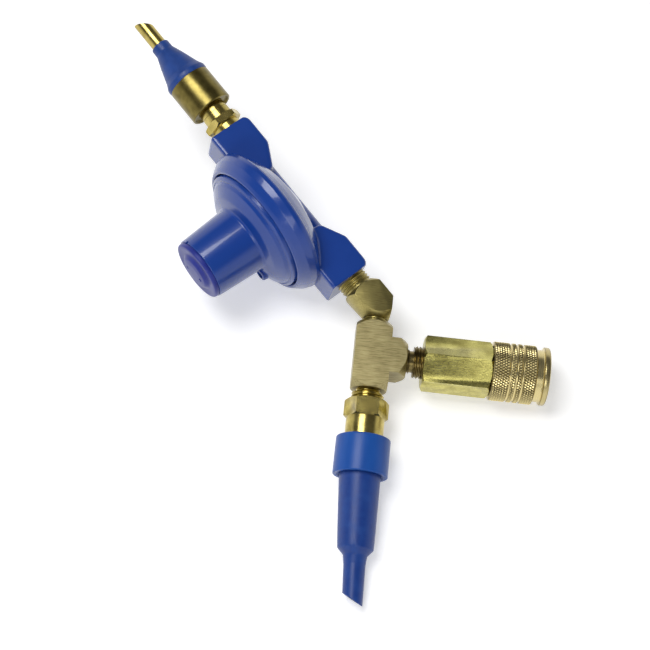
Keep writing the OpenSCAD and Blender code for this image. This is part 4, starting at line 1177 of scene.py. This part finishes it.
def make_latex_valve():
    body = hex_bar(LATEX_HEX_AF, LATEX_HEX_AF / 2 - 0.1, LATEX_HEX_AT, LATEX_HEX_END)
    bevel(body, 0.25, segments=3)
    weld(body, rod(LATEX_BODY_R - 0.02, LATEX_HEX_END - 1, LATEX_BODY_END))
    bore(
        body, (BIG_R + GAP, LATEX_HEX_AT - PAST, LATEX_HEX_AT + THREAD_GRIP + 0.6),
        (PASSAGE_R, LATEX_HEX_AT, LATEX_FLOOR + PAST),
        (LATEX_CHAMBER_R, LATEX_FLOOR, LATEX_BODY_END + PAST),
    )
    smooth(body, angle=24)
    set_down(
        body, "latex_valve_hex", OUTLET, "fittings", ["latex_valve_body"],
        outlet_brass,
    )
    hole = LATEX_BODY_R + GAP
    mouth = NOZZLE_TOP_R + GAP
    pocket = NOZZLE_TOP_R + 1.1
    inner_end = LATEX_BODY_END + 1.4
    collar = hollow([
        (hole, COLLAR_AT), (COLLAR_R, COLLAR_AT, 0.8), (COLLAR_R + 0.1, COLLAR_END, 0.5),
        (mouth + 1.2, COLLAR_END, 0.25), (mouth, COLLAR_END - 0.9), (mouth, COLLAR_END - 1.2),
        (pocket, COLLAR_END - 1.2), (pocket, inner_end), (hole, inner_end),
    ])
    smooth(collar, angle=40)
    set_down(
        collar, "latex_valve_collar", OUTLET, "fittings", ["latex_collar"],
        collar_plastic,
    )


def make_nozzle():
    hole = STEM_R + 1.4
    shank = NOZZLE_TIP_R - 0.5
    tip = NOZZLE_TIP - 0.1
    root_end = LATEX_BODY_END + 1.4
    outline = rounded([
        (hole, LATEX_BODY_END), (LATEX_BODY_R - 0.3, LATEX_BODY_END),
        (LATEX_BODY_R - 0.3, root_end), (NOZZLE_TOP_R + 1, root_end),
        (NOZZLE_TOP_R + 1, COLLAR_END - 1.5), (NOZZLE_TOP_R, COLLAR_END - 1.5),
        (NOZZLE_TOP_R - 0.05, COLLAR_END + 2), (NOZZLE_FOOT_R + 0.3, COLLAR_END + 22, 30),
        (NOZZLE_FOOT_R - 0.09, NOZZLE_CONE_AT, 1.3),
        (NOZZLE_TIP_R + 0.3, NOZZLE_CONE_END - 0.2, 1.6),
        (NOZZLE_TIP_R - 0.15, NOZZLE_CONE_END + 3.5, 4), (shank, tip, 0.3), (STEM_R - 0.8, tip),
        (STEM_R - 0.8, NOZZLE_CONE_AT - 4), (STEM_R + GAP, NOZZLE_CONE_AT - 4),
        (STEM_R + GAP, COLLAR_END + 3), (hole, COLLAR_END + 3),
    ], closed=True)
    nozzle = soft(outline, longest=1.2)
    cut(nozzle, slant_tool(shank, tip, NOZZLE_SLANT, NOZZLE_SLANT_TURN))
    bevel(nozzle, EDGE, segments=3, angle=50)
    # the soft rubber leans a little on its stem
    for vertex in nozzle.data.vertices:
        reach = vertex.co.z - COLLAR_END
        if reach > 0:
            vertex.co.x += NOZZLE_LEAN * reach * reach / (reach + LEAN_START)
    smooth(nozzle, angle=50)
    nozzle.name = nozzle.data.name = "rubber_nozzle"
    finish_piece(
        nozzle, OUTLET, ["latex_nozzle_root", "latex_nozzle"], nozzle_rubber,
    )
    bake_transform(nozzle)


make_latex_valve()
make_nozzle()

# ---- springs ----

SPRING_JOIN = 1e-3
MAIN_SPRING_SHARE = 0.25


def copied_coil(node, place):
    """A copy of a spring's turns in its own millimetres, its loose triangles joined."""
    coil = bpy.data.objects.new(node, frame["nodes"][node].data.copy())
    bpy.context.scene.collection.objects.link(coil)
    coil.matrix_world = place.inverted()
    pick(coil)
    bpy.ops.object.transform_apply()
    edit(coil)
    return close_mesh(SPRING_JOIN)


def set_spring(name, node, place, share=(0, 1)):
    """The turns between two shares of a spring's length, put in the frame; the spring stretches between two
    bodies, but the piece is tied to neither.
    """
    coil = copied_coil(node, place)
    heights = [vertex.co.z for vertex in coil.data.vertices]
    low, high = (min(heights) + part * (max(heights) - min(heights)) for part in share)
    if share[0] > 0:
        cut_square(coil, low, -1)
    if share[1] < 1:
        cut_square(coil, high, 1)
    smooth(coil, angle=65)
    coil.name = coil.data.name = name
    finish_piece(coil, place, [node], spring_steel)
    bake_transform(coil)


set_spring("foil_valve_coil", "foil_return_spring", FOIL)
set_spring("latex_valve_coil", "latex_return_spring", OUTLET)
set_spring("inlet_valve_coil", "coupler_valve_spring", BRANCH)
set_spring("sleeve_coil", "sleeve_spring", BRANCH)
set_spring(
    "main_coil_foot", "main_spring", REGULATOR, (0, MAIN_SPRING_SHARE),
)
set_spring("main_coil", "main_spring", REGULATOR, (MAIN_SPRING_SHARE, 1))

# ---- pieces whose shape the frame already holds ----

INSIDE = {
    regulator_brass: (
        "diaphragm_stem", "adjusting_screw", "inlet_orifice", "valve_plunger", "foil_washer_ring",
    ),
    outlet_brass: ("latex_washer_ring",),
    socket_brass: ("coupler_valve",),
    plate_steel: ("diaphragm_plate", "spring_seat", "lever", "vent_screen", "latex_stem"),
    spring_steel: (
        "lever_pin", "locking_ball_1", "locking_ball_2", "locking_ball_3", "locking_ball_4",
    ),
    seal_rubber: (
        "diaphragm", "cap_seal", "valve_disc", "foil_seat_washer", "plug_seal", "latex_seat_washer",
    ),
}


def finish_inside():
    for material, nodes in INSIDE.items():
        for node in nodes:
            mesh = frame["nodes"][node].data
            mesh.materials.clear()
            mesh.materials.append(material)


finish_inside()

# ---- floor, lights and backdrop ----

FLOOR_SIZE = 8.0
FLOOR_DROP = 0.0002
FLOOR_GLOW = 0.42
FAR_GLOW = 1.0
FAR_FROM = 0.35
FAR_TO = 1.2
PAPER = "#F4F4F4"
WHITE = "#FFFFFF"
WALL = "#E2E2E2"
CEILING = "#626264"
WALL_TOP = 0.18
CEILING_FROM = 0.5
LAMP_AIM = (0, 0, 0.02)


def any_ray(tree, *kinds):
    """1 for a ray of any of these kinds, otherwise 0."""
    seen = path = add_node(tree, "ShaderNodeLightPath", out=kinds[0])
    for kind in kinds[1:]:
        other = path.node.outputs[kind]
        seen = add_node(tree, "ShaderNodeMath", {"operation": "MAXIMUM"}, {0: seen, 1: other})
    return seen


def make_floor():
    """White paper that glows to the camera and to metal, fully so far out; the shadow stays."""
    bpy.ops.object.select_all(action="DESELECT")
    bpy.ops.mesh.primitive_plane_add(size=FLOOR_SIZE, location=(0, 0, -FLOOR_DROP))
    floor = bpy.context.object
    floor.name = "floor"
    material = bpy.data.materials.new("white paper sweep")
    material.use_nodes = True
    tree = material.node_tree
    surface = tree.nodes["Principled BSDF"]
    surface.inputs["Base Color"].default_value = linear(PAPER)
    surface.inputs["Roughness"].default_value = 0.9
    surface.inputs["Emission Color"].default_value = linear(WHITE)
    seen = any_ray(tree, "Is Camera Ray", "Is Glossy Ray", "Is Transmission Ray")
    distance = add_node(tree, "ShaderNodeVectorMath", {"operation": "LENGTH"}, {
        0: add_node(tree, "ShaderNodeTexCoord", out="Object"),
    }, "Value")
    lift = add_node(tree, "ShaderNodeMapRange", None, {
        "Value": distance, "From Min": FAR_FROM, "From Max": FAR_TO,
        "To Min": FLOOR_GLOW, "To Max": FAR_GLOW,
    })
    glow = add_node(tree, "ShaderNodeMath", {"operation": "MULTIPLY"}, {0: seen, 1: lift})
    tree.links.new(glow, surface.inputs["Emission Strength"])
    floor.data.materials.append(material)


def make_world():
    """White walls low down and a grey ceiling, which only the camera sees as white."""
    world = bpy.data.worlds.new("studio")
    bpy.context.scene.world = world
    world.use_nodes = True
    tree = world.node_tree
    direction = add_node(tree, "ShaderNodeTexCoord", out="Generated")
    height = add_node(tree, "ShaderNodeSeparateXYZ", None, {0: direction}, 2)
    ceiling = add_node(tree, "ShaderNodeMapRange", None, {
        "Value": height, "From Min": WALL_TOP, "From Max": CEILING_FROM,
    })
    shade = add_node(tree, "ShaderNodeMix", {"data_type": "RGBA"}, {
        0: ceiling, 6: linear(WALL), 7: linear(CEILING),
    }, 2)
    camera_ray = any_ray(tree, "Is Camera Ray")
    mirrored = any_ray(tree, "Is Glossy Ray", "Is Transmission Ray")
    walls = add_node(tree, "ShaderNodeMath", {"operation": "SUBTRACT"}, {0: 1.0, 1: ceiling})
    shown = add_node(tree, "ShaderNodeMath", {"operation": "MULTIPLY"}, {0: mirrored, 1: walls})
    white = add_node(tree, "ShaderNodeMath", {"operation": "MAXIMUM"}, {0: camera_ray, 1: shown})
    backdrop = add_node(tree, "ShaderNodeMix", {"data_type": "RGBA"}, {
        0: white, 6: shade, 7: linear(WHITE),
    }, 2)
    tree.links.new(backdrop, tree.nodes["Background"].inputs["Color"])


def soft_box(name, at, size, power):
    data = bpy.data.lights.new(name, "AREA")
    data.shape = "RECTANGLE"
    data.size, data.size_y = size
    data.energy = power
    lamp = bpy.data.objects.new(name, data)
    bpy.context.scene.collection.objects.link(lamp)
    lamp.location = at
    lamp.rotation_euler = (Vector(LAMP_AIM) - Vector(at)).to_track_quat("-Z", "Y").to_euler()


make_floor()
make_world()
soft_box("key", at=(-0.22, 0.03, 0.78), size=(0.4, 0.4), power=3.7)
soft_box("front fill", at=(0, -0.55, 0.5), size=(0.4, 0.3), power=1.1)
bpy.context.scene.view_settings.view_transform = "Standard"
